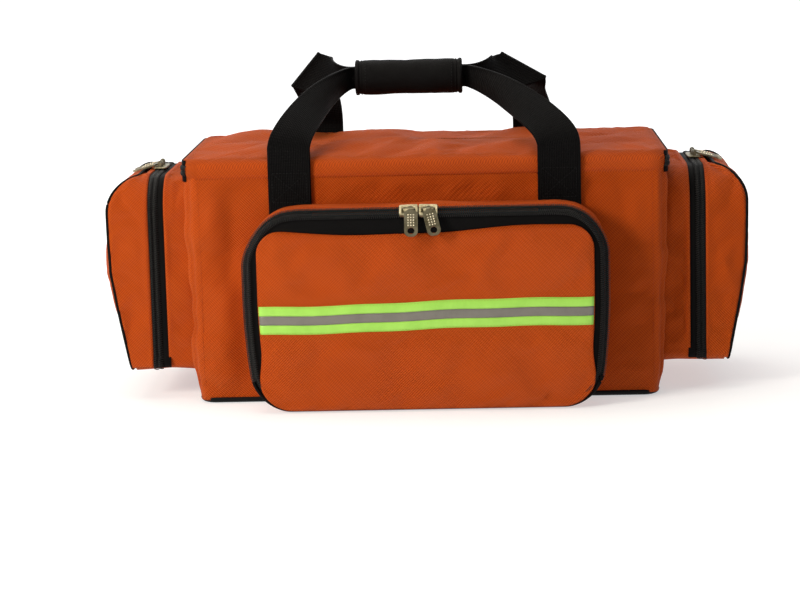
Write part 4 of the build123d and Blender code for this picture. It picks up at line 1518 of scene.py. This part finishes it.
@dataclass
class EndPocket:
    """A pocket on one end of the bag: gussets on both sides of its zip, and its outer panel."""

    maker: Maker
    finishes: Finishes
    side: Side
    half: float = 85.0
    low: float = 27.0
    high: float = 212.0
    top_radius: float = 34.0
    bottom_radius: float = 12.0
    reach: float = 76.0
    foot_reach: float = 58.0
    swell: float = 95.0
    shoulder: float = 32.0
    zip_end: float = 40.0
    inner_edge: float = 22.4
    outer_edge: float = 37.4
    body_coil: float = 30.7
    shell_coil: float = 35.3

    @property
    def name(self) -> str:
        """The end's name."""
        return self.side.value

    def outline(self, step: float = 5.0) -> Outline:
        """The pocket seen from its end."""
        return Outline.rounded(self.half, self.low, self.high, self.top_radius, self.bottom_radius, step)

    def face_at(self, z: np.ndarray) -> np.ndarray:
        """How far the outer face stands out at a height: a slope, an upright part and a round shoulder."""
        slope = self.foot_reach + (self.reach - self.foot_reach) * np.clip((z - self.low) / self.swell, 0, 1)
        soft = 1.2 * bell(z - self.low - self.swell, 26.0)
        into = np.clip(z - (self.high - self.shoulder), 0.0, self.shoulder)
        return slope - soft - self.shoulder + np.sqrt(self.shoulder**2 - into**2)

    def gusset(self) -> None:
        """The inner gusset: a ring sewn to the bag, with a raised hem beside the zip's tape."""
        line = self.outline(4.6)
        y, z = line.points.T
        end = self.inner_edge + (self.face_at(z) - 3.6 - self.inner_edge) * smooth(self.zip_end - z, 0.4, 3.0)
        share = np.linspace(0.0, 1.0, 14)[:, None]
        root = -0.4 - 6.0 * (1 - z / LID_TOP)
        out = root + share * (end - root)
        free = np.sin(np.pi * share) ** 0.8
        flat = self.side.put(y[None], z[None], out)
        folds = (crumple(flat * np.array([0.7, 1.0, 0.8]), 61 + len(self.name), 58.0, 2.4) - 1.6) * free
        hem = 1.1 * bell(share - 0.9, 0.06) + 0.5
        upper = smooth(z, self.zip_end, self.zip_end + 12.0)
        spread = line.points[None] + line.normals[None] * (folds * (0.35 + 0.65 * upper) + hem * upper)[..., None]
        grid = self.side.put(spread[..., 0], spread[..., 1], out)
        held = np.broadcast_to((share < 0.03) | (share > 0.8), grid.shape[:2]) | (z[None] < 44)
        grid = settle(grid, held, True, 0.03, 0.2, 2.6)
        ways = self.side.turn(*line.normals.T, 0.0)
        inner = grid - ways[None] * 1.5
        uv = joined(line.travel()[None], out)
        ring = self.maker.layers(
            f"{self.name}_inner_gusset", [(grid, inner)], self.finishes.orange, self.finishes.lining, uv,
            loop=True,
        )
        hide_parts(f"{self.name}_pocket_gusset")
        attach(ring, "root")
        self.declare(ring, grid, f"{self.name}_end_panel", 4.6)
        keep = z > 52.0
        sewn = Stitch().sew(
            self.maker, f"{self.name}_inner_stitches",
            [(grid[row, keep] + ways[keep] * 0.1, ways[keep]) for row in (1, -3)], self.finishes.orange_thread,
        )
        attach(sewn, "root")

    @staticmethod
    def declare(piece: bpy.types.Object, grid: np.ndarray, rests_on: str, closing: float) -> None:
        """Does nothing: the gusset's flat width and length are not worked out or kept.

        Args:
            piece: the gusset; not used.
            grid: its outer face; not used.
            rests_on: what it is sewn to; not used.
            closing: the length between its last column and its first; not used.
        """

    def zips(self) -> None:
        """Both halves of the zip, up one side, over the top and down the other."""
        line = self.outline(3.0).arch(self.low + 4.0)
        out = self.side.turn(*line.normals.T, 0.0)
        edge = line.offset(-1.1 + 2.3 * smooth(self.zip_end + 4.0 - line.points[:, 1], 0.0, 6.0))
        toward_bag = np.array([-self.side.sign, 0.0, 0.0])
        for half, place, body, way, width, node in (
            ("body", self.body_coil, "root", toward_bag, 10.2, "zip_body_half"),
            ("shell", self.shell_coil, f"{self.name}_pocket_shell", -toward_bag, 4.6, "zip_flap_half"),
        ):
            path = self.side.put(*edge.T, np.full(len(edge), place))
            ways = np.broadcast_to(way, path.shape)
            ZipHalf(self.maker, self.finishes, body, Coil(phase=0.5 * (half == "shell")), overlap=1.15).build(
                f"{self.name}_zip_{half}", f"{self.name}_pocket_{node}", path, ways, out, width
            )

    def shell(self) -> None:
        """The outer gusset, the outer panel, and the black cord in the seam between them."""
        body = f"{self.name}_pocket_shell"
        line = self.outline(4.6).arch(self.low + 4.0)
        y, z = line.points.T
        share = np.linspace(0.0, 1.0, 14)[:, None]
        end = self.face_at(z) - 1.2
        out = self.outer_edge + share * (end - self.outer_edge)
        flat = self.side.put(y[None], z[None], out)
        free = np.sin(np.pi * share) ** 0.8 * smooth(share, 0.3, 0.8) * smooth(z, self.zip_end, 60.0)[None]
        folds = (crumple(flat * np.array([0.7, 1.0, 0.8]), 71 + len(self.name), 60.0, 2.2) - 0.6) * free
        hem = 0.8 * bell(share - 0.08, 0.06) + 0.4 + 1.4 * smooth(self.zip_end + 4.0 - z, 0.0, 6.0)[None]
        spread = line.points[None] + line.normals[None] * (folds + hem)[..., None]
        grid = self.side.put(spread[..., 0], spread[..., 1], out)
        held = np.broadcast_to((share < 0.18) | (share > 0.97), grid.shape[:2]) | (z[None] < 46)
        grid = settle(grid, held, False, 0.03, 0.4, 2.6)
        ways = self.side.turn(*line.normals.T, 0.0)
        inner = grid - ways[None] * 1.6
        uv = joined(line.travel()[None], out)
        strip = self.maker.layers(
            f"{self.name}_outer_gusset", [(grid, inner)], self.finishes.orange, self.finishes.lining, uv
        )
        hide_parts(f"{self.name}_pocket_outer_gusset")
        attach(strip, body)
        self.declare(strip, grid, f"{self.name}_pocket_outer_panel", 0.0)
        panel = self.panel()
        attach(panel, body)
        whole = self.outline(3.0)
        edge = whole.offset(-0.4)
        edge[:, 1] = np.maximum(edge[:, 1], self.low + 2.4)
        path = self.side.put(*edge.T, self.face_at(edge[:, 1]) - 0.2)
        cord = self.maker.rod(f"{self.name}_piping", path, 1.5, self.finishes.binding, closed=True)
        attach(cord, body)
        lines = [(grid[1] + ways * 0.1, ways)]
        sewn = Stitch().sew(self.maker, f"{self.name}_outer_stitches", lines, self.finishes.orange_thread)
        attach(sewn, body)

    def panel(self) -> bpy.types.Object:
        """The outer panel, crowned, over the slope, the upright part and the shoulder.

        Returns:
            The piece.
        """
        heights = np.linspace(self.low + 2.6, self.high - 0.4, 400)
        profile = joined(self.face_at(heights), heights)
        level = resample(profile, 4.4)[0][:, 1]
        up = ((level - level[0]) / (level[-1] - level[0]))[:, None]
        across = np.sin(np.linspace(-1, 1, 44) * np.pi / 2)[None, :]
        y = across * (self.half - 0.7)
        low = level[0] + rounding(y, self.half, self.bottom_radius)
        high = level[-1] - rounding(y, self.half, self.top_radius)
        z = low + up * (high - low)
        edge = np.minimum(np.minimum(1 - np.abs(across), 0.9 * up + 0 * across), 1 - up)
        share = smooth(edge, 0.0, 0.16)
        crown = 2.6 * np.sin(np.pi * up) * (1 - across**2) + 1.0 * smooth(edge, 0.0, 0.06)
        flat = self.side.put(y, z, self.face_at(z) - 0.3 + 0 * y)
        normal = normals_of(flat, False, (self.side.sign, 0.0, 0.25))
        folds = crumple(flat * np.array([1.0, 1.0, 0.8]), 81 + len(self.name), 75.0, 1.8) * share
        grid = flat + normal * (crown + folds)[..., None]
        grid = settle(grid, share < 0.08, False, 0.015, 1.2, 3.0)
        back = flat - normal * 2.2
        uv = joined(y, lengths(joined(level, self.face_at(level)))[:, None])
        panel = self.maker.layers(
            f"{self.name}_outer_panel", [(grid, back)], self.finishes.orange, self.finishes.lining, uv
        )
        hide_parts(f"{self.name}_pocket_outer_panel")
        return panel

    def build(self) -> None:
        """Builds every piece."""
        self.gusset()
        self.zips()
        self.shell()


@dataclass(frozen=True)
class Fold:
    """Where a strap is turned over on itself. Its angles are in degrees from the outward direction."""

    across: float
    height: float
    crease: float
    climb: float
    depth: float = 45.0
    bend: float = 1.8
    fade: float = 38.0  # the length of webbing over which the sections turn square again

    def way(self, angle: float, side: int) -> np.ndarray:
        """A direction in the plane of the front, mirrored for the left strap."""
        return np.array([side * np.cos(np.radians(angle)), 0.0, np.sin(np.radians(angle))])


@dataclass
class Handle:
    """A webbing handle: straps sewn to the bag that turn on edge and fold towards the grip."""

    maker: Maker
    finishes: Finishes
    name: str
    strap_x: float
    face: float
    low: float
    hinge: float
    core: float
    rise: float = 31.0
    run: float = 9.0
    straight: float = 238.0
    grip_height: float = 296.0
    grip_middle: float = -15.0
    grip_reach: float = 55.0
    width: float = 40.0
    thickness: float = 2.1
    folded_width: float = 21.0
    folded: float = 4.2
    cup: float = 4.5
    folds: tuple[Fold, Fold] | None = None

    @staticmethod
    def curve(start: np.ndarray, leave: np.ndarray, arrive: np.ndarray, end: np.ndarray) -> np.ndarray:
        """A cubic curve of four control points."""
        t = np.linspace(0.0, 1.0, 60)[:, None]
        s = 1 - t
        shares = np.concatenate((s**3, 3 * s * s * t, 3 * s * t * t, t**3), axis=1)
        return shares @ np.array([start, leave, arrive, end])

    def turned_strap(self, side: int, fold: Fold) -> tuple[np.ndarray, np.ndarray, np.ndarray]:
        """One strap that is turned over along a slanting crease on its way to the grip.

        Towards the crease the sections lean until they lie along it. There the webbing makes a half
        turn of small radius, and leaves in the direction mirrored about the crease.

        Args:
            side: -1 for the left strap, 1 for the right one.
            fold: where it turns over.

        Returns:
            The same as for a plain strap.
        """
        middle = np.array([side * fold.across, fold.depth, fold.height])
        climb, leave = fold.way(fold.climb, side), fold.way(2 * fold.crease - fold.climb, side)
        crease = -side * fold.way(fold.crease, side)
        slant = abs(np.sin(np.radians(fold.crease - fold.climb)))
        over, front = unit(climb - crease * (climb @ crease)), np.array([0.0, -1.0, 0.0])
        foot_x = side * self.strap_x
        foot = np.linspace(self.low, self.straight, 24)[:-1]
        straight = joined(foot_x, self.face, foot)
        rise = self.curve(
            np.array([foot_x, self.face, self.straight]), np.array([foot_x, self.face, self.straight + 24.0]),
            middle - climb * 26.0, middle,
        )
        turn = np.linspace(0.0, np.pi, 9)[1:-1, None]
        bend = middle + fold.bend * (np.sin(turn) * over + (1 - np.cos(turn)) * front)
        start = middle + 2 * fold.bend * front
        end = np.array([self.grip_middle + side * self.grip_reach, self.core, self.grip_height])
        run = self.curve(start, start + leave * 22.0, end + np.array([side * 22.0, 0.0, 0.0]), end)
        edges = []
        for path, away in ((rise, lengths(rise[::-1])[::-1]), (run, lengths(run))):
            share = np.linspace(0.0, 1.0, len(path))[:, None]
            share = 3 * share**2 - 2 * share**3
            if path is rise:
                way = np.array([1.0, 0.0, 0.0]) * (1 - share) + crease * share
            else:
                way = crease * (1 - share) + np.array([0.0, 0.0, -side]) * share
            ahead = heading(path)
            square = squared(way, ahead)
            lean = 1 - smooth(away, 0.0, fold.fade)[:, None]
            edges.append(square + ahead * (ahead @ crease)[:, None] / slant * lean)
        across = np.concatenate((
            np.broadcast_to([1.0, 0.0, 0.0], straight.shape), edges[0],
            np.broadcast_to(crease / slant, bend.shape), edges[1],
        ))
        ease = np.concatenate((
            np.zeros(len(straight) + len(rise) + len(bend)), smooth(np.linspace(0.0, 1.0, len(run)), 0.3, 1.0)
        ))
        return np.concatenate((straight, rise, bend, run)), across, ease

    def strap(self, side: int) -> tuple[np.ndarray, np.ndarray, np.ndarray]:
        """One strap from its foot to the grip.

        The straight part is followed by a cubic curve of four control points.

        Args:
            side: -1 for the left strap, 1 for the right one.

        Returns:
            Points, directions of the width, and how far the webbing has folded, from 0 to 1.
        """
        if self.folds:
            return self.turned_strap(side, self.folds[side > 0])
        end_x = self.grip_middle + side * self.grip_reach
        curve = self.curve(
            (side * self.strap_x, self.face, self.straight),
            (side * self.strap_x, self.face, self.straight + self.rise),
            (end_x + side * self.run, self.core, self.grip_height),
            (end_x, self.core, self.grip_height),
        )
        t = np.linspace(0.0, 1.0, len(curve))[:, None]
        foot = np.linspace(self.low, self.straight, 24)[:-1]
        straight = joined(side * self.strap_x, self.face, foot)
        ease = t[:, 0] ** 2 * (3 - 2 * t[:, 0])
        across = np.array([1.0, 0.0, 0.0]) * (1 - ease[:, None]) + np.array([0.0, 0.0, side]) * ease[:, None]
        path = np.concatenate((straight, curve))
        across = np.concatenate((np.broadcast_to([1.0, 0.0, 0.0], straight.shape), across))
        return path, squared(across, heading(path)), np.concatenate((np.zeros(len(straight)), ease))

    def build(self) -> None:
        """Builds the webbing as one piece, its edge stitching and the boxes that sew it down.

        Each section is a flat strip with thicker edges, cupped along its length where it folds.
        """
        left, left_way, left_ease = self.strap(-1)
        right, right_way, right_ease = self.strap(1)
        inside = np.linspace(0.0, 1.0, 20)[1:-1, None]
        middle = left[-1] + (right[-1] - left[-1]) * inside
        path = np.concatenate((left, middle, right[::-1]))
        across = np.concatenate((left_way, np.broadcast_to(left_way[-1], middle.shape), -right_way[::-1]))
        ease = np.concatenate((left_ease, np.ones(len(middle)), right_ease[::-1]))
        up = unit(np.cross(heading(path), across))
        half = (self.width + (self.folded_width - self.width) * ease) / 2
        thick = (self.thickness + (self.folded - self.thickness) * ease) / 2
        run = np.array([-1.0, -0.985, -0.93, -0.86, -0.6, -0.3, 0.0, 0.3, 0.6, 0.86, 0.93, 0.985, 1.0])
        bead = np.array([0.15, 0.85, 1.15, 0.95, 1.0, 1.0, 1.0, 1.0, 1.0, 0.95, 1.15, 0.85, 0.15])
        wide = np.concatenate((run, run[::-1]))
        high = np.concatenate((bead, -bead[::-1]))
        wave = np.sin(np.linspace(0.0, 14.0, len(path)))[:, None] * 0.5 * (1 - ease[:, None])
        bow = self.cup * (ease * (1 - ease) * 4)[:, None] * (wide[None] ** 2 - 0.4)
        lift = high[None] * thick[:, None] + bow + wave * smooth(path[:, 2:], self.hinge, 260.0)
        aside = (wide[None] * half[:, None])[..., None]
        points = path[:, None] + across[:, None] * aside + up[:, None] * lift[..., None]
        girth = np.concatenate((run, 2.0 - run[::-1])) * self.width / 2
        uv = joined(girth[None], lengths(path)[:, None])
        strap = self.maker.grid(f"{self.name}_webbing", points, self.finishes.webbing, uv, cap=True)
        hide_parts(f"{self.name}_handle", f"{self.name}_strap_anchors")
        self.bend(strap)
        near = -1.0 if self.face < 0 else 1.0
        lines = []
        for x in (-self.strap_x, self.strap_x):
            lines.extend(self.boxes(x, near))
        sewn = Stitch(2.6, 0.5, 3.2).sew(
            self.maker, f"{self.name}_anchor_stitches", lines, self.finishes.black_thread
        )
        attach(sewn, "root")

    def bend(self, piece: bpy.types.Object) -> None:
        """Bakes the webbing's placement into its mesh; nothing bends it."""
        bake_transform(piece)

    def boxes(self, x: float, near: float) -> list[tuple[np.ndarray, np.ndarray]]:
        """The sewn box with its cross on one strap, and lines along its edges."""
        face = self.face + near * (self.thickness / 2 + 0.1)
        out = np.array([0.0, near, 0.0])
        half = self.width / 2 - 4.0
        top = self.hinge - 3.0
        low = max(190.5 if near < 0 else self.low + 4.0, top - 30.0)
        corners = [(-half, low), (half, low), (half, top), (-half, top), (-half, low), (half, top)]
        runs = [corners, [(-half, top), (half, low)]]
        if self.hinge - self.low > 80:
            runs.append([(-half, self.low + 4.0), (half, self.low + 4.0), (half, self.low + 34.0),
                         (-half, self.low + 34.0), (-half, self.low + 4.0), (half, self.low + 34.0)])
            runs.append([(-half, low), (-half, self.low + 34.0)])
            runs.append([(half, low), (half, self.low + 34.0)])
        lines = []
        for run in runs:
            for start, end in zip(run[:-1], run[1:]):
                t = np.linspace(0.0, 1.0, 20)[:, None]
                flat = np.array(start) * (1 - t) + np.array(end) * t
                lines.append((np.stack((x + flat[:, 0], np.full(20, face), flat[:, 1]), axis=1), out))
        return lines


@dataclass
class Grip:
    """The padded wrap round both handles, in a front half and a back half."""

    maker: Maker
    finishes: Finishes
    left: float = -66.5
    right: float = 36.5
    height: float = 296.0
    radius: float = 16.6
    rim: float = 17.0
    rim_length: float = 3.2
    gap: float = 0.25

    def build(self) -> None:
        """Builds the two halves.

        Along the grip, the radius is that of the wrap with a raised rim and a stitched groove near each
        end. Each section is half a circle closed by a flat side.
        """
        x = np.concatenate((
            np.linspace(0.0, 8.0, 17)[:-1], np.linspace(8.0, self.right - self.left - 8.0, 44),
            np.linspace(self.right - self.left - 8.0, self.right - self.left, 17)[1:],
        ))
        end = np.minimum(x, self.right - self.left - x)
        rolled = np.sqrt(1 - (1 - np.clip(end / 1.4, 0, 1)) ** 2)
        radius = self.radius - 0.9 * bell(end - 4.6, 0.9) - 0.5 * bell(end - 7.2, 0.7)
        radius = np.where(end < 4.0, self.rim - 2.0 * (1 - rolled) - 0.5 * bell(end - 4.0, 0.8), radius)
        for name, sign in (("front", -1.0), ("back", 1.0)):
            turn = np.linspace(-np.pi / 2, np.pi / 2, 40)
            flat = np.linspace(1.0, -1.0, 9)[1:-1]
            y = np.concatenate((np.cos(turn), 0 * flat))
            z = np.concatenate((np.sin(turn), flat))
            round_part = np.concatenate((np.ones(40), np.zeros(len(flat))))
            places = joined(x[:, None], y[None] * 17, z[None] * 17)
            soft = crumple(places, 91 + int(sign), 36.0, 0.45) * round_part * smooth(end, 8.0, 16.0)[:, None]
            size = radius[:, None] + soft
            points = np.stack((
                self.left + x[:, None] + 0 * size, sign * (self.gap + y[None] * size), self.height + z[None] * size,
            ), axis=-1)
            around = np.concatenate((turn * self.radius, self.radius * np.pi / 2 + (1 - flat) * self.radius))
            uv = joined(around[None], x[:, None])
            wrap = self.maker.grid(f"grip_{name}", points, self.finishes.grip, uv, cap=True)
            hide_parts(f"grip_wrap_{name}")
            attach(wrap, f"{name}_handle")
            lines = []
            for index in (int(np.argmin(np.abs(x - 9.5))), int(np.argmin(np.abs(x[-1] - 9.5 - x)))):
                ring = points[index, 2:38]
                out = unit(ring - np.array([ring[0, 0], 0.0, self.height]))
                lines.append((ring + out * 0.05, out))
            sewn = Stitch(2.4, 0.5, 3.0).sew(self.maker, f"grip_{name}_stitches", lines, self.finishes.black_thread)
            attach(sewn, f"{name}_handle")


@dataclass
class Studio:
    """The pale floor, the soft lights and the camera."""

    target: tuple[float, float, float] = (-0.02907, 0.0, 0.07722)
    distance: float = 2.4
    elevation: float = 9.67
    yaw: float = -1.97
    roll: float = -1.46
    lens: float = 110.1

    def build(self) -> None:
        """Builds the scene round the bag."""
        self.floor()
        self.lights()
        self.camera()

    def floor(self) -> None:
        """One large plane with a faint grain. It glows as painted light, brighter towards the back, so it stays pale
        and the bag's shadows on it are lightened.
        """
        data = bpy.data.meshes.new("floor")
        data.from_pydata([(-6, -6, 0), (6, -6, 0), (6, 6, 0), (-6, 6, 0)], [], [(0, 1, 2, 3)])
        floor = bpy.data.objects.new("floor", data)
        bpy.context.scene.collection.objects.link(floor)
        graph = Graph("pale_glowing_floor")
        grain = graph.noise(graph.place(), 30.0)
        behind = graph.node("SeparateXYZ", Vector=graph.place()).outputs[1]
        # Painted light: the floor glows from 0.5 near the bag to 0.9 behind it, with no lamp there, which lightens
        # the shadows.
        data.materials.append(graph.shade(
            Base_Color=graph.mix(grain, (0.53, 0.54, 0.56), (0.57, 0.58, 0.6)), Roughness=0.9,
            Specular_IOR_Level=0.1, Emission_Strength=graph.spread(behind, 0.2, 1.2, 0.5, 0.9),
            Emission_Color=(1.0, 1.0, 1.0, 1.0),
        ))

    def lights(self) -> None:
        """A key from the left, a broad top light, and a surround that is palest behind the bag."""
        for name, place, size, power in (
            ("key", (-1.15, -1.15, 0.8), 0.5, 25.0),
            ("top", (-0.3, 0.2, 2.4), 2.0, 40.0),
        ):
            light = bpy.data.lights.new(name, "AREA")
            light.energy = power
            light.size = size
            light.color = (1.0, 0.93, 0.8)
            lamp = bpy.data.objects.new(name, light)
            lamp.location = place
            lamp.rotation_euler = (Vector((0, 0, 0.12)) - Vector(place)).to_track_quat("-Z", "Y").to_euler()
            bpy.context.scene.collection.objects.link(lamp)
        world = bpy.data.worlds.new("surround")
        world.use_nodes = True
        tree = world.node_tree
        way = tree.nodes.new("ShaderNodeSeparateXYZ")
        level = tree.nodes.new("ShaderNodeMapRange")
        tree.links.new(tree.nodes.new("ShaderNodeTexCoord").outputs["Generated"], way.inputs[0])
        tree.links.new(way.outputs["Y"], level.inputs["Value"])
        for socket, value in (("From Min", 0.1), ("From Max", 0.8), ("To Min", 0.22), ("To Max", 1.1)):
            level.inputs[socket].default_value = value
        tree.links.new(level.outputs[0], tree.nodes["Background"].inputs["Strength"])
        tree.nodes["Background"].inputs["Color"].default_value = (1.0, 1.0, 1.0, 1.0)
        bpy.context.scene.world = world
        bpy.context.scene.view_settings.view_transform = "Standard"

    def camera(self) -> None:
        """Looks along the yaw and elevation at the target, rolled about its own line of sight."""
        yaw, tilt, roll = np.radians((self.yaw, self.elevation, self.roll))
        ahead = np.array([np.sin(yaw) * np.cos(tilt), np.cos(yaw) * np.cos(tilt), -np.sin(tilt)])
        level = np.array([np.cos(yaw), -np.sin(yaw), 0.0])
        upright = np.cross(level, ahead)
        right = level * np.cos(roll) + upright * np.sin(roll)
        above = np.cross(right, ahead)
        camera = bpy.data.objects.new("camera", bpy.data.cameras.new("camera"))
        place = np.array(self.target) - ahead * self.distance
        turned = np.eye(4)
        turned[:3, 0], turned[:3, 1], turned[:3, 2], turned[:3, 3] = right, above, -ahead, place
        camera.matrix_world = Matrix(turned.tolist())
        camera.data.lens = self.lens
        camera.data.sensor_width = 36.0
        camera.data.clip_end = 50.0
        bpy.context.scene.collection.objects.link(camera)
        bpy.context.scene.camera = camera


def dress_fittings(finishes: Finishes) -> None:
    """Gives the sliders and pulls, which keep their modelled shapes, their plated metal."""
    for name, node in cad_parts.items():
        if "_slider_" in name or "_pull_" in name:
            node.data.materials.clear()
            node.data.materials.append(finishes.metal)
            for slot in node.material_slots:
                slot.material = finishes.metal


@dataclass(frozen=True)
class Studs:
    """The bright raised dots on the outer face of each pull."""

    rows: int = 5
    columns: int = 3
    pitch: float = 2.5
    first: float = 7.4
    eye: float = 2.4
    radius: float = 0.72
    height: float = 0.62
    lift: float = 0.75  # from the middle of the plate's thickness

    def shape(self) -> tuple[np.ndarray, np.ndarray]:
        """A low eight-sided dome: three rings, closed above and below."""
        angle = np.arange(8) * (np.pi / 4)
        rings = [(self.radius, -0.1), (self.radius * 0.85, self.height * 0.7), (self.radius * 0.4, self.height)]
        points = np.concatenate([
            np.stack((size * np.cos(angle), size * np.sin(angle), np.full(8, high)), axis=1) for size, high in rings
        ])
        lid = np.array([(0, 1, 2, 3), (0, 3, 4, 7), (4, 5, 6, 7)])
        faces = np.concatenate((sleeve(3, 8), lid[:, ::-1], lid + 16))
        return points, facing(points, faces)

    def build(self, maker: Maker, finish: bpy.types.Material) -> None:
        """Sets the dots on every pull, found by the spread of its own corners.

        The widest spread is the pull's length, the least is its thickness, and the side of the plate
        that already has the higher points is its outer face.
        """
        points, faces = self.shape()
        for name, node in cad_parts.items():
            if "_pull_" not in name:
                continue
            corners = np.array([node.matrix_world @ vertex.co for vertex in node.data.vertices]) / MM
            middle = corners.mean(axis=0)
            _, ways = np.linalg.eigh(np.cov((corners - middle).T))
            out, across, along = ways.T
            place = (corners - middle) @ along
            span = (corners - middle) @ across
            if np.ptp(span[place > place.max() - 3.0]) > np.ptp(span[place < place.min() + 3.0]):
                along, place = -along, -place
            plate = ((corners - middle) @ out)[place < place.max() - 2 * self.eye - 1.0]
            middle = middle + out * (plate.max() + plate.min()) / 2
            span = (corners - middle) @ across
            middle = middle + across * (span.max() + span.min()) / 2
            face = (corners - middle) @ out
            dotted = np.abs(place - (place.max() - self.eye - self.first - self.pitch * 2)) < self.pitch * 2.5
            out = out * np.sign(face[dotted].max() + face[dotted].min())
            rows, columns = np.meshgrid(np.arange(self.rows), np.arange(self.columns), indexing="ij")
            down = (place.max() - self.eye - self.first - rows.ravel() * self.pitch)[:, None]
            aside = ((columns.ravel() - 1) * self.pitch)[:, None]
            places = middle + along * down + across * aside + out * self.lift
            ways = [np.broadcast_to(way, places.shape) for way in (along, out)]
            dots = maker.repeat(f"{name}_dots", places, *ways, points, faces, finish)
            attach(dots, name)


def main() -> None:
    """Builds the bag and the studio."""
    logging.basicConfig(level=logging.INFO, format="%(message)s")
    maker, finishes = Maker(), Finishes()
    Studio().build()
    Body(maker, finishes).build()
    Lid(maker, finishes).build()
    FrontPocket(maker, finishes).build()
    for side in (Side.LEFT, Side.RIGHT):
        EndPocket(maker, finishes, side).build()
    Handle(
        maker, finishes, "front", strap_x=125.0, face=-112.8, low=170.0, hinge=220.8, core=-3.6,
    ).build()
    Handle(
        maker, finishes, "back", strap_x=106.0, face=112.5, low=12.0, hinge=200.0, core=3.6,
        folds=(Fold(117.0, 301.0, 130.4, 63.0), Fold(96.0, 300.5, 150.0, 98.0)),
    ).build()
    Grip(maker, finishes).build()
    dress_fittings(finishes)
    Studs().build(maker, finishes.stud)
    log.info("%d pieces", len(maker.pieces))


if __name__ == "__main__":
    main()
